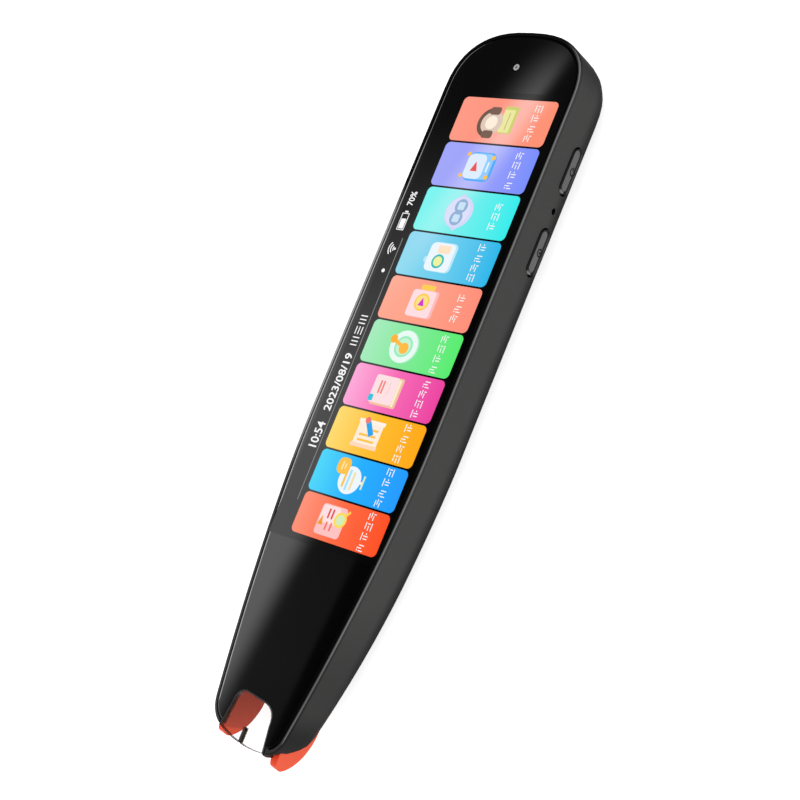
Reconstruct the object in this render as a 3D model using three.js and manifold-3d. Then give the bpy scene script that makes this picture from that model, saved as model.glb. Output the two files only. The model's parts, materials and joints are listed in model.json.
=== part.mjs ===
// A handheld scanning pen: a flat body with a round head, a full length display under one
// cover lens, two keys in the right side, a speaker disc in the back and a forked tip whose
// two orange skids press in together to start a scan.
// Millimetres. The pen lies on its back: +Z is the display's normal, +Y points to the round
// head, +X is the side with the keys. The origin is the middle of the footprint.

import * as THREE from 'three';
import { mergeVertices } from 'three/addons/utils/BufferGeometryUtils.js';
import Module from 'manifold-3d';

const wasm = await Module();
wasm.setup();

// Overall sizes of the body
const overallLength = 153.5;
const bodyWidth = 33.6;
const bodyThickness = 14.9;

// Plan outline: a blunt round head, straight sides, a long taper and rounded tip corners
const headDepth = 14;
const headPower = 2.55;
const taperLength = 60.3;
const taperPower = 1.7;
const tipWidth = 21.24;
const tipCornerDepth = 4.55;
const tipCornerWidth = 4.4;
const tipBulge = 0.75;
const tipInsetLimit = 1.7;

// Back of the body: the radius along its edges, and how the back lifts towards the tip
const backRadius = 7.6;
const tipBackRadius = 6.3;
const backRiseLength = 40;
const backRise = 3;

// Walls and clearances
const wallThickness = 1.4;
const clearance = 0.3;
const seatGap = 0.1;
const cutOverrun = 3;

// Cover lens and the rim around it
const lensThickness = 1.1;
const lensMargin = 1.05;
const lensEdge = 0.3;
const lensProud = 0.1;
const rimChamfer = 0.2;

// Clear window at the tip end of the lens
const windowLength = 9.2;
const windowHeadWidth = 11;
const windowEndWidth = 13;
const windowCornerDepth = 3.4;
const windowCornerWidth = 3.4;

// Display module under the lens
const displaySideMargin = 3.1;
const displayFromHead = 13.5;
const displayFromTip = 38.95;
const displayThickness = 1.3;

// Plate that carries the display
const plateThickness = 0.7;
const plateFromHead = 4;
const plateSlotLength = 12;
const plateSlotWidth = 8;
const plateSlotPitch = 27;

// Sensor behind the lens in the head
const sensorFromHead = 7.9;
const sensorEyeRadius = 0.65;
const sensorBaseRadius = 1.9;
const sensorBaseHeight = 1.5;

// Speaker in the back of the head
const speakerHeadGap = 2.6;
const grilleSideMargin = 6.15;
const grilleThickness = 0.75;
const grilleSunk = 0.1;
const grilleLedge = 1.3;
const slotWidth = 0.9;
const slotPitchShare = 0.226;
const longSlotShares = [0.43, 0.62, 0.39, 0.62, 0.43];
const shortSlotShare = 0.14;
const shortRowShares = [0.45, 0.62, 0.45];
const clothThickness = 0.2;
const gasketThickness = 0.6;
const gasketWidth = 1.4;
const driverSideMargin = 7.1;
const driverHeight = 4.2;
const driverRimHeight = 1;
const magnetMargin = 3.3;
const coneDepth = 0.9;

// Keys in the right side
const keyLength = 9.6;
const keyWidth = 3;
const keyHeight = 7.2;
const keyProud = 0.4;
const keyTravel = 0.35;
const powerKeyFromHead = 25.2;
const functionKeyFromHead = 42.5;
const flangeMargin = 0.7;
const keyFlangeThickness = 0.8;
const keyPusherLength = 0.7;
const keyPusherRadius = 0.9;

// Side switches under the keys and the switch at the skid yoke
const switchLength = 4.4;
const switchHeight = 3.4;
const switchDepth = 1.9;
const plungerRadius = 0.7;
const plungerStand = 0.6;
const plungerSunk = 0.4;

// Microphone behind its hole
const microphoneFromHead = 33.9;
const microphoneHeight = 7.5;
const microphoneHoleRadius = 0.65;
const microphoneRadius = 1.5;
const microphoneDepth = 2;

// Charging socket in the left side
const socketFromHead = 40;
const socketHeight = 7.4;
const socketWidth = 8.9;
const socketThickness = 3.2;
const socketDepth = 7.3;
const socketWall = 0.3;
const socketSunk = 0.2;
const tongueWidth = 6.7;
const tongueThickness = 0.7;
const tongueLength = 5;

// Circuit board, the parts on it, and its screws
const boardHeight = 9.4;
const boardThickness = 0.8;
const boardFromHead = 29;
const shieldWidth = 15;
const shieldLength = 18;
const chipWidth = 9;
const chipLength = 12;
const chipHeight = 0.7;
const shieldFromHead = 64;
const chipFromHead = 83;
const bossRadius = 2.1;
const bossBoreRadius = 1;
const screwRadius = 0.7;
const screwHeadRadius = 1.6;
const screwHeadHeight = 0.6;
const screwLength = 5;
const headBossSideMargin = 7.3;
const headBossFromHead = 50;
const tipBossMargin = 5.5;

// Battery
const batterySideMargin = 6.3;
const batteryThickness = 5.2;
const batteryBossGap = 2.4;
const batteryRiseGap = 4.5;
const batteryEdge = 1.2;

// Forked tip: the gap between the prongs, and the slanted end of the side walls
const forkWidth = 14.2;
const forkDepth = 16.8;
const lipHeight = 1.95;
const prongEndShares = [0.078, 0.136, 0.204, 0.291, 0.388, 0.515, 0.709, 0.854, 1];
const prongEndHeightShares = [1, 0.965, 0.894, 0.784, 0.667, 0.541, 0.42, 0.349, 0.2];
const prongEndDepth = 10.3;

// Liner of the scanning gap, with the scan pane, camera and lights behind it
const linerWall = 0.8;
const linerDepth = 1.6;
const paneWidth = 10.2;
const paneHeight = 5.8;
const paneThickness = 0.6;
const paneCentreHeight = 8.2;
const barrelRadius = 2.2;
const barrelLength = 6;
const sleeveWall = 0.8;
const sleeveLength = 3.6;
const scanLensRadius = 1.6;
const scanLensBulge = 0.4;
const lightWidth = 1.2;
const lightHeight = 2.4;
const lightDepth = 1;
const lightSpread = 9;

// Skids: two fins outside the scanning gap and the yoke that joins them
const skidReach = 1.45;
const skidThickness = 1.7;
const stemThickness = 0.65;
const skidLength = 10.25;
const skidFront = 12.6;
const skidBack = 4.1;
const finEdgeShares = [0.151, 0.063, 0.01, 0, 0.044, 0.141, 0.278, 0.444, 0.629, 0.824];
const finEdgeHeightShares = [1, 0.953, 0.849, 0.744, 0.57, 0.384, 0.221, 0.105, 0.028, 0];
const stemWidth = 4.8;
const yokeThickness = 2;
const yokeGap = 1.7;
const skidTravel = 0.5;

// Aiming rib let into the end of the window
const ribWidth = 0.5;
const ribDepth = 0.7;
const ribLength = 2.9;

// Places that follow from the sizes above
const headY = overallLength / 2;
const skidTipY = -overallLength / 2;
const tipY = skidTipY + skidReach;
const shoulderY = headY - headDepth;
const cornerY = tipY + tipBulge + tipCornerDepth;
const taperY = cornerY + taperLength;
const riseY = cornerY + backRiseLength;
const frontZ = bodyThickness;
const rimZ = frontZ - lensProud;
const lensBackZ = frontZ - lensThickness;
const ledgeZ = lensBackZ - seatGap;
const displayBackZ = ledgeZ - seatGap - displayThickness;
const plateBackZ = displayBackZ - clearance - plateThickness;
const pocketMargin = lensMargin - clearance;
const innerWallX = bodyWidth / 2 - wallThickness;
const boardTopZ = boardHeight + boardThickness;
const forkY = tipY + forkDepth;
const linerFaceY = forkY + clearance;
const linerBackY = linerFaceY + linerDepth;
const barrelFrontY = linerBackY - linerDepth / 4;
const yokeY = barrelFrontY + barrelLength + yokeGap;
const yokeBackY = yokeY + yokeThickness;
const boardTipY = yokeBackY + skidTravel + clearance;
const headBossY = headY - headBossFromHead;
const tipBossY = boardTipY + tipBossMargin;

// Finishes
const finishes = {
  shell: { color: 0x4a4848, roughness: 0.62, metalness: 0 },
  lens: { color: 0x0b0b0d, roughness: 0.08, metalness: 0 },
  clear: { color: 0xe8ecee, roughness: 0.04, metalness: 0, transparent: true, opacity: 0.35 },
  display: { color: 0x15171c, roughness: 0.3, metalness: 0 },
  steel: { color: 0xb4b6b8, roughness: 0.35, metalness: 1 },
  black: { color: 0x18181a, roughness: 0.5, metalness: 0 },
  key: { color: 0x565454, roughness: 0.5, metalness: 0 },
  board: { color: 0x1d4a38, roughness: 0.55, metalness: 0 },
  battery: { color: 0x9a9da2, roughness: 0.4, metalness: 0.2 },
  skid: { color: 0xff5a32, roughness: 0.45, metalness: 0 },
  cloth: { color: 0x101010, roughness: 0.95, metalness: 0 },
  gasket: { color: 0x26262a, roughness: 0.9, metalness: 0 },
  light: { color: 0xf3f0d8, roughness: 0.3, metalness: 0 },
  plunger: { color: 0xd9d5cc, roughness: 0.5, metalness: 0 },
};

const pen = new THREE.Group();

function addPart(name, geometry, finish) {
  const mesh = new THREE.Mesh(geometry, new THREE.MeshStandardMaterial(finishes[finish]));
  mesh.name = name;
  pen.add(mesh);
  return mesh;
}

// Booleans on closed geometries

function toSolid(geometry) {
  const bare = geometry.clone();
  bare.deleteAttribute('normal');
  bare.deleteAttribute('uv');
  const merged = mergeVertices(bare);
  return new wasm.Manifold(new wasm.Mesh({
    numProp: 3,
    vertProperties: new Float32Array(merged.attributes.position.array),
    triVerts: new Uint32Array(merged.index.array),
  }));
}

function toGeometry(solid) {
  const mesh = solid.getMesh();
  const geometry = new THREE.BufferGeometry();
  geometry.setAttribute('position', new THREE.BufferAttribute(new Float32Array(mesh.vertProperties), 3));
  geometry.setIndex(new THREE.BufferAttribute(new Uint32Array(mesh.triVerts), 1));
  geometry.computeVertexNormals();
  return geometry;
}

function cutAway(body, cutters) {
  return cutters.reduce((rest, cutter) => rest.subtract(toSolid(cutter)), body);
}

// Plain shapes, each given by its limits or its axis

function boxBetween(low, high) {
  const geometry = new THREE.BoxGeometry(high[0] - low[0], high[1] - low[1], high[2] - low[2]);
  geometry.translate((low[0] + high[0]) / 2, (low[1] + high[1]) / 2, (low[2] + high[2]) / 2);
  return geometry;
}

function roundBar(radius, start, end, sides = 24) {
  const from = new THREE.Vector3(...start);
  const along = new THREE.Vector3(...end).sub(from);
  const geometry = new THREE.CylinderGeometry(radius, radius, along.length(), sides);
  const turn = new THREE.Quaternion().setFromUnitVectors(
    new THREE.Vector3(0, 1, 0), along.clone().normalize());
  geometry.applyQuaternion(turn);
  geometry.translate(from.x + along.x / 2, from.y + along.y / 2, from.z + along.z / 2);
  return geometry;
}

function revolvedUp(profile, x, y, sides = 40) {
  const points = profile.map(([radius, height]) => new THREE.Vector2(radius, height));
  const geometry = new THREE.LatheGeometry(points, sides);
  geometry.rotateX(Math.PI / 2);
  geometry.translate(x, y, 0);
  return geometry;
}

function raised(shape, low, high, curveSegments = 8) {
  const geometry = new THREE.ExtrudeGeometry(shape, {
    depth: high - low, bevelEnabled: false, curveSegments,
  });
  geometry.translate(0, 0, low);
  return geometry;
}

// An outline drawn as (Y, Z) and extruded from one X to another
function sideways(shape, low, high, curveSegments = 8) {
  const geometry = new THREE.ExtrudeGeometry(shape, {
    depth: high - low, bevelEnabled: false, curveSegments,
  });
  geometry.rotateY(Math.PI / 2);
  geometry.rotateX(Math.PI / 2);
  geometry.translate(low, 0, 0);
  return geometry;
}

function pillShape(length, width, centreAlong, centreAcross) {
  const radius = width / 2;
  const half = length / 2 - radius;
  const shape = new THREE.Shape();
  shape.absarc(centreAlong + half, centreAcross, radius, -Math.PI / 2, Math.PI / 2, false);
  shape.absarc(centreAlong - half, centreAcross, radius, Math.PI / 2, Math.PI * 1.5, false);
  shape.closePath();
  return shape;
}

// The body's form: its half width, how far the back lifts, and the radius along the back edge

function halfWidthAt(y) {
  const share = Math.max(0, (taperY - y) / taperLength);
  return bodyWidth / 2 - ((bodyWidth - tipWidth) / 2) * share ** taperPower;
}

function riseShareAt(y) {
  return THREE.MathUtils.clamp((riseY - y) / backRiseLength, 0, 1);
}

function backZAt(y) {
  return backRise * riseShareAt(y) ** 2;
}

function backRadiusAt(y) {
  return THREE.MathUtils.lerp(backRadius, tipBackRadius, riseShareAt(y));
}

const sideSlope = ((bodyWidth - tipWidth) / 2) * (taperPower / taperLength);

// Right half of the plan outline, from the head's crown to the middle of the tip
function halfOutline() {
  const points = [];
  const headSteps = 12;
  for (let i = 0; i <= headSteps; i += 1) {
    const angle = (Math.PI / 2) * (1 - i / headSteps);
    points.push(new THREE.Vector2(
      (bodyWidth / 2) * Math.max(0, Math.cos(angle)) ** (2 / headPower),
      shoulderY + headDepth * Math.max(0, Math.sin(angle)) ** (2 / headPower)));
  }
  points[0].x = 0;
  const straightSteps = 3;
  for (let i = 1; i <= straightSteps; i += 1) {
    points.push(new THREE.Vector2(bodyWidth / 2, THREE.MathUtils.lerp(shoulderY, taperY, i / straightSteps)));
  }
  const taperSteps = 14;
  for (let i = 1; i <= taperSteps; i += 1) {
    const y = taperY - taperLength * (i / taperSteps);
    points.push(new THREE.Vector2(halfWidthAt(y), y));
  }
  const cornerStart = points[points.length - 1];
  const cornerEnd = new THREE.Vector2(cornerStart.x - tipCornerWidth, tipY + tipBulge);
  const corner = new THREE.CubicBezierCurve(
    cornerStart,
    new THREE.Vector2(cornerStart.x - sideSlope * tipCornerDepth * 0.55, cornerStart.y - tipCornerDepth * 0.55),
    new THREE.Vector2(cornerEnd.x + tipCornerWidth * 0.5, cornerEnd.y + tipBulge * 0.4),
    cornerEnd);
  points.push(...corner.getPoints(8).slice(1));
  const end = new THREE.QuadraticBezierCurve(
    cornerEnd, new THREE.Vector2(cornerEnd.x / 2, tipY), new THREE.Vector2(0, tipY));
  points.push(...end.getPoints(4).slice(1));
  return points;
}

// The whole outline, moved inwards by a distance that may depend on Y. In the tip half only a
// shallow part of it follows the outline: the rest narrows the ring, which can't fold it.
const rightHalf = halfOutline();

function narrowed(point, deep, pastCorner) {
  if (!pastCorner) {
    point.x -= Math.sign(point.x) * Math.min(deep, Math.abs(point.x));
    return point;
  }
  const shrink = 1 - deep / (tipWidth / 2 - tipInsetLimit);
  const cornerLine = cornerY + tipInsetLimit * sideSlope;
  point.x *= shrink;
  point.y = cornerLine + (point.y - cornerLine) * shrink;
  return point;
}

function planRing(insetAt, heightAt) {
  const leftHalf = rightHalf.slice(1, -1).reverse().map((point) => new THREE.Vector2(-point.x, point.y));
  const outline = [...rightHalf, ...leftHalf];
  const count = outline.length;
  return outline.map((point, i) => {
    const before = outline[(i + count - 1) % count];
    const after = outline[(i + 1) % count];
    const into = point.clone().sub(before).normalize();
    const away = after.clone().sub(point).normalize();
    const along = into.add(away).normalize();
    const inset = insetAt(point.y);
    const shallow = point.y < 0 ? Math.min(inset, tipInsetLimit) : inset;
    const moved = new THREE.Vector3(
      point.x + along.y * shallow, point.y - along.x * shallow, heightAt(point.y));
    return narrowed(moved, inset - shallow, point.y < cornerY);
  });
}

// A closed skin over stacked rings. Its two ends are ladders between mirrored points.
function loft(rings) {
  const count = rings[0].length;
  const positions = rings.flatMap((ring) => ring.flatMap((point) => [point.x, point.y, point.z]));
  const faces = [];
  const addQuad = (a, b, c, d) => faces.push(a, b, c, a, c, d);
  for (let level = 0; level < rings.length - 1; level += 1) {
    for (let i = 0; i < count; i += 1) {
      const next = (i + 1) % count;
      addQuad(level * count + i, (level + 1) * count + i,
        (level + 1) * count + next, level * count + next);
    }
  }
  const half = count / 2;
  const top = (rings.length - 1) * count;
  faces.push(0, 1, count - 1, top, top + count - 1, top + 1);
  for (let i = 1; i < half - 1; i += 1) {
    addQuad(i, i + 1, count - i - 1, count - i);
    addQuad(top + i, top + count - i, top + count - i - 1, top + i + 1);
  }
  faces.push(half - 1, half, half + 1, top + half - 1, top + half + 1, top + half);
  const geometry = new THREE.BufferGeometry();
  geometry.setAttribute('position', new THREE.Float32BufferAttribute(positions, 3));
  geometry.setIndex(faces);
  return geometry;
}

// The body with a skin of the given thickness taken off its sides and back, up to a height
function bodyForm(skin, topRings) {
  const edgeSteps = 6;
  const rings = [];
  for (let i = 0; i <= edgeSteps; i += 1) {
    const angle = (Math.PI / 2) * (1 - i / edgeSteps);
    const insetAt = (y) => skin + (backRadiusAt(y) - skin) * (1 - Math.cos(angle));
    const heightAt = (y) => backZAt(y) + skin + (backRadiusAt(y) - skin) * (1 - Math.sin(angle));
    rings.push(planRing(insetAt, heightAt));
  }
  topRings.forEach(([inset, height]) => rings.push(planRing(() => inset, () => height)));
  return loft(rings);
}

// A flat slice of the plan outline
function planSlab(inset, low, high) {
  return loft([planRing(() => inset, () => low), planRing(() => inset, () => high)]);
}

// The shell: walls, back, ledge for the lens, fork, openings and bosses

const grilleRadius = bodyWidth / 2 - grilleSideMargin;
const driverRadius = bodyWidth / 2 - driverSideMargin;
const speakerY = headY - backRadius - driverRadius - speakerHeadGap;
const powerKeyY = headY - powerKeyFromHead;
const functionKeyY = headY - functionKeyFromHead;
const microphoneY = headY - microphoneFromHead;
const socketY = headY - socketFromHead;
const lipZ = lensBackZ - lipHeight + clearance * 3;
const skidOuterX = forkWidth / 2 + skidThickness;
const finBackY = skidTipY + skidLength;

function keySlot(centreY, gap) {
  return sideways(
    pillShape(keyLength + 2 * gap, keyWidth + 2 * gap, centreY, keyHeight),
    innerWallX - wallThickness, bodyWidth / 2 + cutOverrun);
}

// Flat seat inside the wall for a key's flange
function keySeat(centreY) {
  return sideways(
    pillShape(keyLength + 2 * flangeMargin + 2 * clearance, keyWidth + 2 * flangeMargin + 2 * clearance,
      centreY, keyHeight),
    innerWallX - keyFlangeThickness - wallThickness, innerWallX);
}

function socketShape(grow) {
  return pillShape(socketWidth + 2 * grow, socketThickness + 2 * grow, socketY, socketHeight);
}

// Everything past the slanted end of the side walls, in side view
function prongEndCutter() {
  const shape = new THREE.Shape();
  const curve = prongEndShares.map((share, i) => new THREE.Vector2(
    tipY + prongEndDepth * share, lipZ * prongEndHeightShares[i]));
  shape.moveTo(curve[0].x, curve[0].y);
  shape.splineThru(curve.slice(1));
  shape.lineTo(tipY + prongEndDepth, -cutOverrun);
  shape.lineTo(tipY - cutOverrun, -cutOverrun);
  shape.lineTo(tipY - cutOverrun, curve[0].y);
  shape.closePath();
  return sideways(shape, -bodyWidth, bodyWidth, 4);
}

const headBossX = bodyWidth / 2 - headBossSideMargin;
const bossPlaces = [[-headBossX, headBossY], [headBossX, headBossY], [0, tipBossY]];

function backShell() {
  const outer = toSolid(bodyForm(0, [[0, rimZ - rimChamfer], [rimChamfer, rimZ]]));
  const cavity = bodyForm(wallThickness, [[wallThickness, ledgeZ + seatGap]]);
  const pocket = planSlab(pocketMargin, ledgeZ, frontZ + cutOverrun);
  const fork = boxBetween(
    [-forkWidth / 2, tipY - cutOverrun, -cutOverrun], [forkWidth / 2, forkY, frontZ + cutOverrun]);
  const skidSlot = boxBetween(
    [-skidOuterX - clearance, tipY - cutOverrun, skidBack - clearance],
    [skidOuterX + clearance, finBackY + skidTravel + clearance, lipZ]);
  const hollow = cutAway(outer, [cavity, pocket]);
  const bosses = bossPlaces.reduce(
    (solid, [x, y]) => solid.add(toSolid(roundBar(bossRadius, [x, y, wallThickness / 2],
      [x, y, boardHeight - clearance]))), hollow);
  const speakerBore = roundBar(grilleRadius + clearance, [0, speakerY, -cutOverrun],
    [0, speakerY, grilleSunk + grilleThickness + seatGap], 48);
  const speakerMouth = roundBar(grilleRadius - grilleLedge, [0, speakerY, -cutOverrun],
    [0, speakerY, wallThickness + clearance], 48);
  const screwBores = bossPlaces.map(([x, y]) => roundBar(
    bossBoreRadius, [x, y, wallThickness], [x, y, boardHeight + cutOverrun], 16));
  const microphoneHole = roundBar(microphoneHoleRadius,
    [innerWallX - clearance, microphoneY, microphoneHeight],
    [bodyWidth / 2 + cutOverrun, microphoneY, microphoneHeight], 16);
  const socketHole = sideways(socketShape(clearance), -bodyWidth / 2 - cutOverrun, -innerWallX + clearance);
  return cutAway(bosses, [
    fork, skidSlot, prongEndCutter(), speakerBore, speakerMouth, ...screwBores,
    keySlot(powerKeyY, clearance), keySlot(functionKeyY, clearance),
    keySeat(powerKeyY), keySeat(functionKeyY), microphoneHole, socketHole,
  ]);
}

addPart('back_shell', toGeometry(backShell()), 'shell');

// Cover lens, its clear window and the display behind it

function windowShape(grow) {
  const endY = tipY - cutOverrun;
  const topY = tipY + windowLength + grow;
  const headHalf = windowHeadWidth / 2 + grow;
  const endHalf = windowEndWidth / 2 + grow;
  const shoulder = topY - windowCornerDepth;
  const shape = new THREE.Shape();
  shape.moveTo(endHalf, endY);
  shape.lineTo(endHalf, tipY);
  shape.lineTo(headHalf, shoulder);
  shape.quadraticCurveTo(headHalf, topY, headHalf - windowCornerWidth, topY);
  shape.lineTo(windowCornerWidth - headHalf, topY);
  shape.quadraticCurveTo(-headHalf, topY, -headHalf, shoulder);
  shape.lineTo(-endHalf, tipY);
  shape.lineTo(-endHalf, endY);
  shape.closePath();
  return shape;
}

function lensForm() {
  return loft([
    planRing(() => lensMargin, () => lensBackZ),
    planRing(() => lensMargin, () => frontZ - lensEdge),
    planRing(() => lensMargin + lensEdge * 0.3, () => frontZ - lensEdge * 0.3),
    planRing(() => lensMargin + lensEdge, () => frontZ),
  ]);
}

const sensorY = headY - sensorFromHead;

function frontLens() {
  return cutAway(toSolid(lensForm()), [
    raised(windowShape(clearance), lensBackZ - cutOverrun, frontZ + cutOverrun),
    roundBar(sensorEyeRadius + clearance, [0, sensorY, lensBackZ - cutOverrun],
      [0, sensorY, frontZ + cutOverrun]),
  ]);
}

const ribY = tipY + seatGap;

function tipWindow() {
  const slab = toSolid(planSlab(0, lensBackZ, frontZ));
  const ribSlot = boxBetween(
    [-ribWidth / 2 - seatGap, tipY - cutOverrun, frontZ - ribDepth - seatGap],
    [ribWidth / 2 + seatGap, ribY + ribLength + seatGap, frontZ + cutOverrun]);
  return slab.intersect(toSolid(raised(windowShape(0), lensBackZ - cutOverrun, frontZ + cutOverrun)))
    .subtract(toSolid(ribSlot));
}

addPart('front_lens', toGeometry(frontLens()), 'lens');
addPart('tip_window', toGeometry(tipWindow()), 'clear');

const displayX = bodyWidth / 2 - displaySideMargin;

addPart('display_panel', boxBetween(
  [-displayX, tipY + displayFromTip, displayBackZ],
  [displayX, headY - displayFromHead, displayBackZ + displayThickness]), 'display');

function displayPlate() {
  const slab = toSolid(planSlab(wallThickness + clearance, plateBackZ, plateBackZ + plateThickness));
  const topY = headY - plateFromHead;
  const span = toSolid(boxBetween(
    [-bodyWidth, boardTipY, plateBackZ - cutOverrun], [bodyWidth, topY, frontZ]));
  const slotCount = Math.floor((topY - boardTipY) / plateSlotPitch);
  const slots = [];
  for (let i = 0; i < slotCount; i += 1) {
    const centre = topY - plateSlotPitch * (i + 0.5);
    slots.push(raised(pillShape(plateSlotLength, plateSlotWidth, 0, centre),
      plateBackZ - cutOverrun, frontZ, 6));
  }
  return cutAway(slab.intersect(span), slots);
}

addPart('display_plate', toGeometry(displayPlate()), 'steel');

addPart('front_sensor', revolvedUp([
  [0, lensBackZ - seatGap - sensorBaseHeight],
  [sensorBaseRadius, lensBackZ - seatGap - sensorBaseHeight],
  [sensorBaseRadius, lensBackZ - seatGap],
  [sensorEyeRadius, lensBackZ - seatGap],
  [sensorEyeRadius, frontZ - seatGap],
  [0, frontZ - seatGap],
], 0, sensorY, 24), 'black');

// Speaker: grille disc with its slots, dust cloth, gasket and driver

function grilleSlots() {
  const low = -cutOverrun;
  const high = grilleThickness + cutOverrun;
  const slots = [];
  const pitch = grilleRadius * slotPitchShare;
  const addSlot = (length, x, y) => {
    const slot = raised(pillShape(length, slotWidth, 0, 0), low, high, 4);
    slot.rotateZ(Math.PI / 2);
    slot.translate(x, y, 0);
    slots.push(slot);
  };
  const middle = (longSlotShares.length - 1) / 2;
  longSlotShares.forEach((share, i) => addSlot(grilleRadius * share, (i - middle) * pitch, speakerY));
  const rowMiddle = (shortRowShares.length - 1) / 2;
  [-1, 1].forEach((side) => shortRowShares.forEach((share, i) => addSlot(
    grilleRadius * shortSlotShare, (i - rowMiddle) * pitch, speakerY + side * grilleRadius * share)));
  return slots;
}

function speakerGrille() {
  const disc = toSolid(roundBar(grilleRadius, [0, speakerY, grilleSunk],
    [0, speakerY, grilleSunk + grilleThickness], 64));
  return cutAway(disc, grilleSlots());
}

const magnetRadius = driverRadius - magnetMargin;
const clothZ = grilleSunk + grilleThickness + seatGap;
const gasketZ = wallThickness + seatGap;
const driverZ = gasketZ + gasketThickness + seatGap;

addPart('speaker_grille', toGeometry(speakerGrille()), 'shell');

addPart('speaker_cloth', roundBar(grilleRadius - grilleLedge - clearance,
  [0, speakerY, clothZ], [0, speakerY, clothZ + clothThickness], 40), 'cloth');

addPart('speaker_gasket', revolvedUp([
  [driverRadius - gasketWidth, gasketZ],
  [driverRadius, gasketZ],
  [driverRadius, gasketZ + gasketThickness],
  [driverRadius - gasketWidth, gasketZ + gasketThickness],
  [driverRadius - gasketWidth, gasketZ],
], 0, speakerY), 'gasket');

addPart('speaker_driver', revolvedUp([
  [0, driverZ],
  [magnetRadius / 2, driverZ + coneDepth],
  [driverRadius - gasketWidth, driverZ + coneDepth / 3],
  [driverRadius - gasketWidth, driverZ],
  [driverRadius, driverZ],
  [driverRadius, driverZ + driverRimHeight],
  [magnetRadius, driverZ + driverRimHeight + coneDepth],
  [magnetRadius, driverZ + driverHeight],
  [0, driverZ + driverHeight],
], 0, speakerY), 'steel');

// Keys: each cap follows the body's side, with a flange that keeps it in and a pusher behind it

const flangeX = innerWallX - clearance;
const pusherX = flangeX - keyFlangeThickness;
const pusherTipX = pusherX - keyPusherLength;

function sideKey(centreY) {
  const skin = bodyForm(-keyProud, [[-keyProud, rimZ]]);
  const cap = toSolid(skin).intersect(toSolid(sideways(
    pillShape(keyLength, keyWidth, centreY, keyHeight), pusherX, bodyWidth)));
  const flange = sideways(pillShape(
    keyLength + 2 * flangeMargin, keyWidth + 2 * flangeMargin, centreY, keyHeight), pusherX, flangeX);
  const pusher = roundBar(keyPusherRadius, [pusherTipX, centreY, keyHeight],
    [flangeX, centreY, keyHeight], 16);
  return cap.add(toSolid(flange)).add(toSolid(pusher));
}

// A plunger stands out of its switch by one length and sits in its bore by another.
// The switch is drawn for a plunger that faces +X, with its face at zero.
const plungerBoreDepth = plungerSunk + keyTravel + clearance;
const switchFaceX = pusherTipX - seatGap - plungerStand;

function sideSwitch(centreY) {
  const body = toSolid(boxBetween(
    [switchFaceX - switchDepth, centreY - switchLength / 2, keyHeight - switchHeight / 2],
    [switchFaceX, centreY + switchLength / 2, keyHeight + switchHeight / 2]));
  return cutAway(body, [roundBar(plungerRadius + clearance,
    [switchFaceX - plungerBoreDepth, centreY, keyHeight],
    [switchFaceX + cutOverrun, centreY, keyHeight], 16)]);
}

function sidePlunger(centreY) {
  return roundBar(plungerRadius, [switchFaceX - plungerSunk, centreY, keyHeight],
    [pusherTipX - seatGap, centreY, keyHeight], 16);
}

[['power', powerKeyY], ['function', functionKeyY]].forEach(([name, y]) => {
  addPart(`${name}_key`, toGeometry(sideKey(y)), 'key');
  addPart(`${name}_switch`, toGeometry(sideSwitch(y)), 'black');
  addPart(`${name}_plunger`, sidePlunger(y), 'plunger');
});

addPart('microphone', roundBar(microphoneRadius,
  [flangeX - microphoneDepth, microphoneY, microphoneHeight],
  [flangeX, microphoneY, microphoneHeight]), 'steel');

// Charging socket: a pressed shell, open to the outside, with a contact tongue

const socketMouthX = -bodyWidth / 2 + socketSunk;
const socketBackX = socketMouthX + socketDepth;

function socketShell() {
  const outside = toSolid(sideways(socketShape(0), socketMouthX, socketBackX, 6));
  return cutAway(outside, [
    sideways(socketShape(-socketWall), socketMouthX - cutOverrun, socketBackX - 2 * socketWall, 6)]);
}

addPart('socket_shell', toGeometry(socketShell()), 'steel');

addPart('socket_tongue', boxBetween(
  [socketBackX - 2 * socketWall - tongueLength - seatGap, socketY - tongueWidth / 2,
    socketHeight - tongueThickness / 2],
  [socketBackX - 2 * socketWall - seatGap, socketY + tongueWidth / 2,
    socketHeight + tongueThickness / 2]), 'black');

// Circuit board and what sits on it

function mainBoard() {
  const slab = toSolid(planSlab(wallThickness + clearance, boardHeight, boardTopZ));
  const span = toSolid(boxBetween(
    [-bodyWidth, boardTipY, boardHeight - cutOverrun], [bodyWidth, headY - boardFromHead, frontZ]));
  const bores = bossPlaces.map(([x, y]) => roundBar(
    screwRadius + clearance, [x, y, 0], [x, y, frontZ], 16));
  return cutAway(slab.intersect(span), bores);
}

addPart('main_board', toGeometry(mainBoard()), 'board');

function boardPart(name, width, length, fromHead, finish) {
  const y = headY - fromHead;
  addPart(name, boxBetween([-width / 2, y - length / 2, boardTopZ + seatGap],
    [width / 2, y + length / 2, boardTopZ + seatGap + chipHeight]), finish);
}

boardPart('processor_shield', shieldWidth, shieldLength, shieldFromHead, 'steel');
boardPart('memory_chip', chipWidth, chipLength, chipFromHead, 'black');

bossPlaces.forEach(([x, y], i) => {
  const seat = boardTopZ + seatGap;
  addPart(`board_screw_${i + 1}`, revolvedUp([
    [0, seat - screwLength],
    [screwRadius, seat - screwLength],
    [screwRadius, seat],
    [screwHeadRadius, seat],
    [screwHeadRadius, seat + screwHeadHeight],
    [0, seat + screwHeadHeight],
  ], x, y, 16), 'steel');
});

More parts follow.
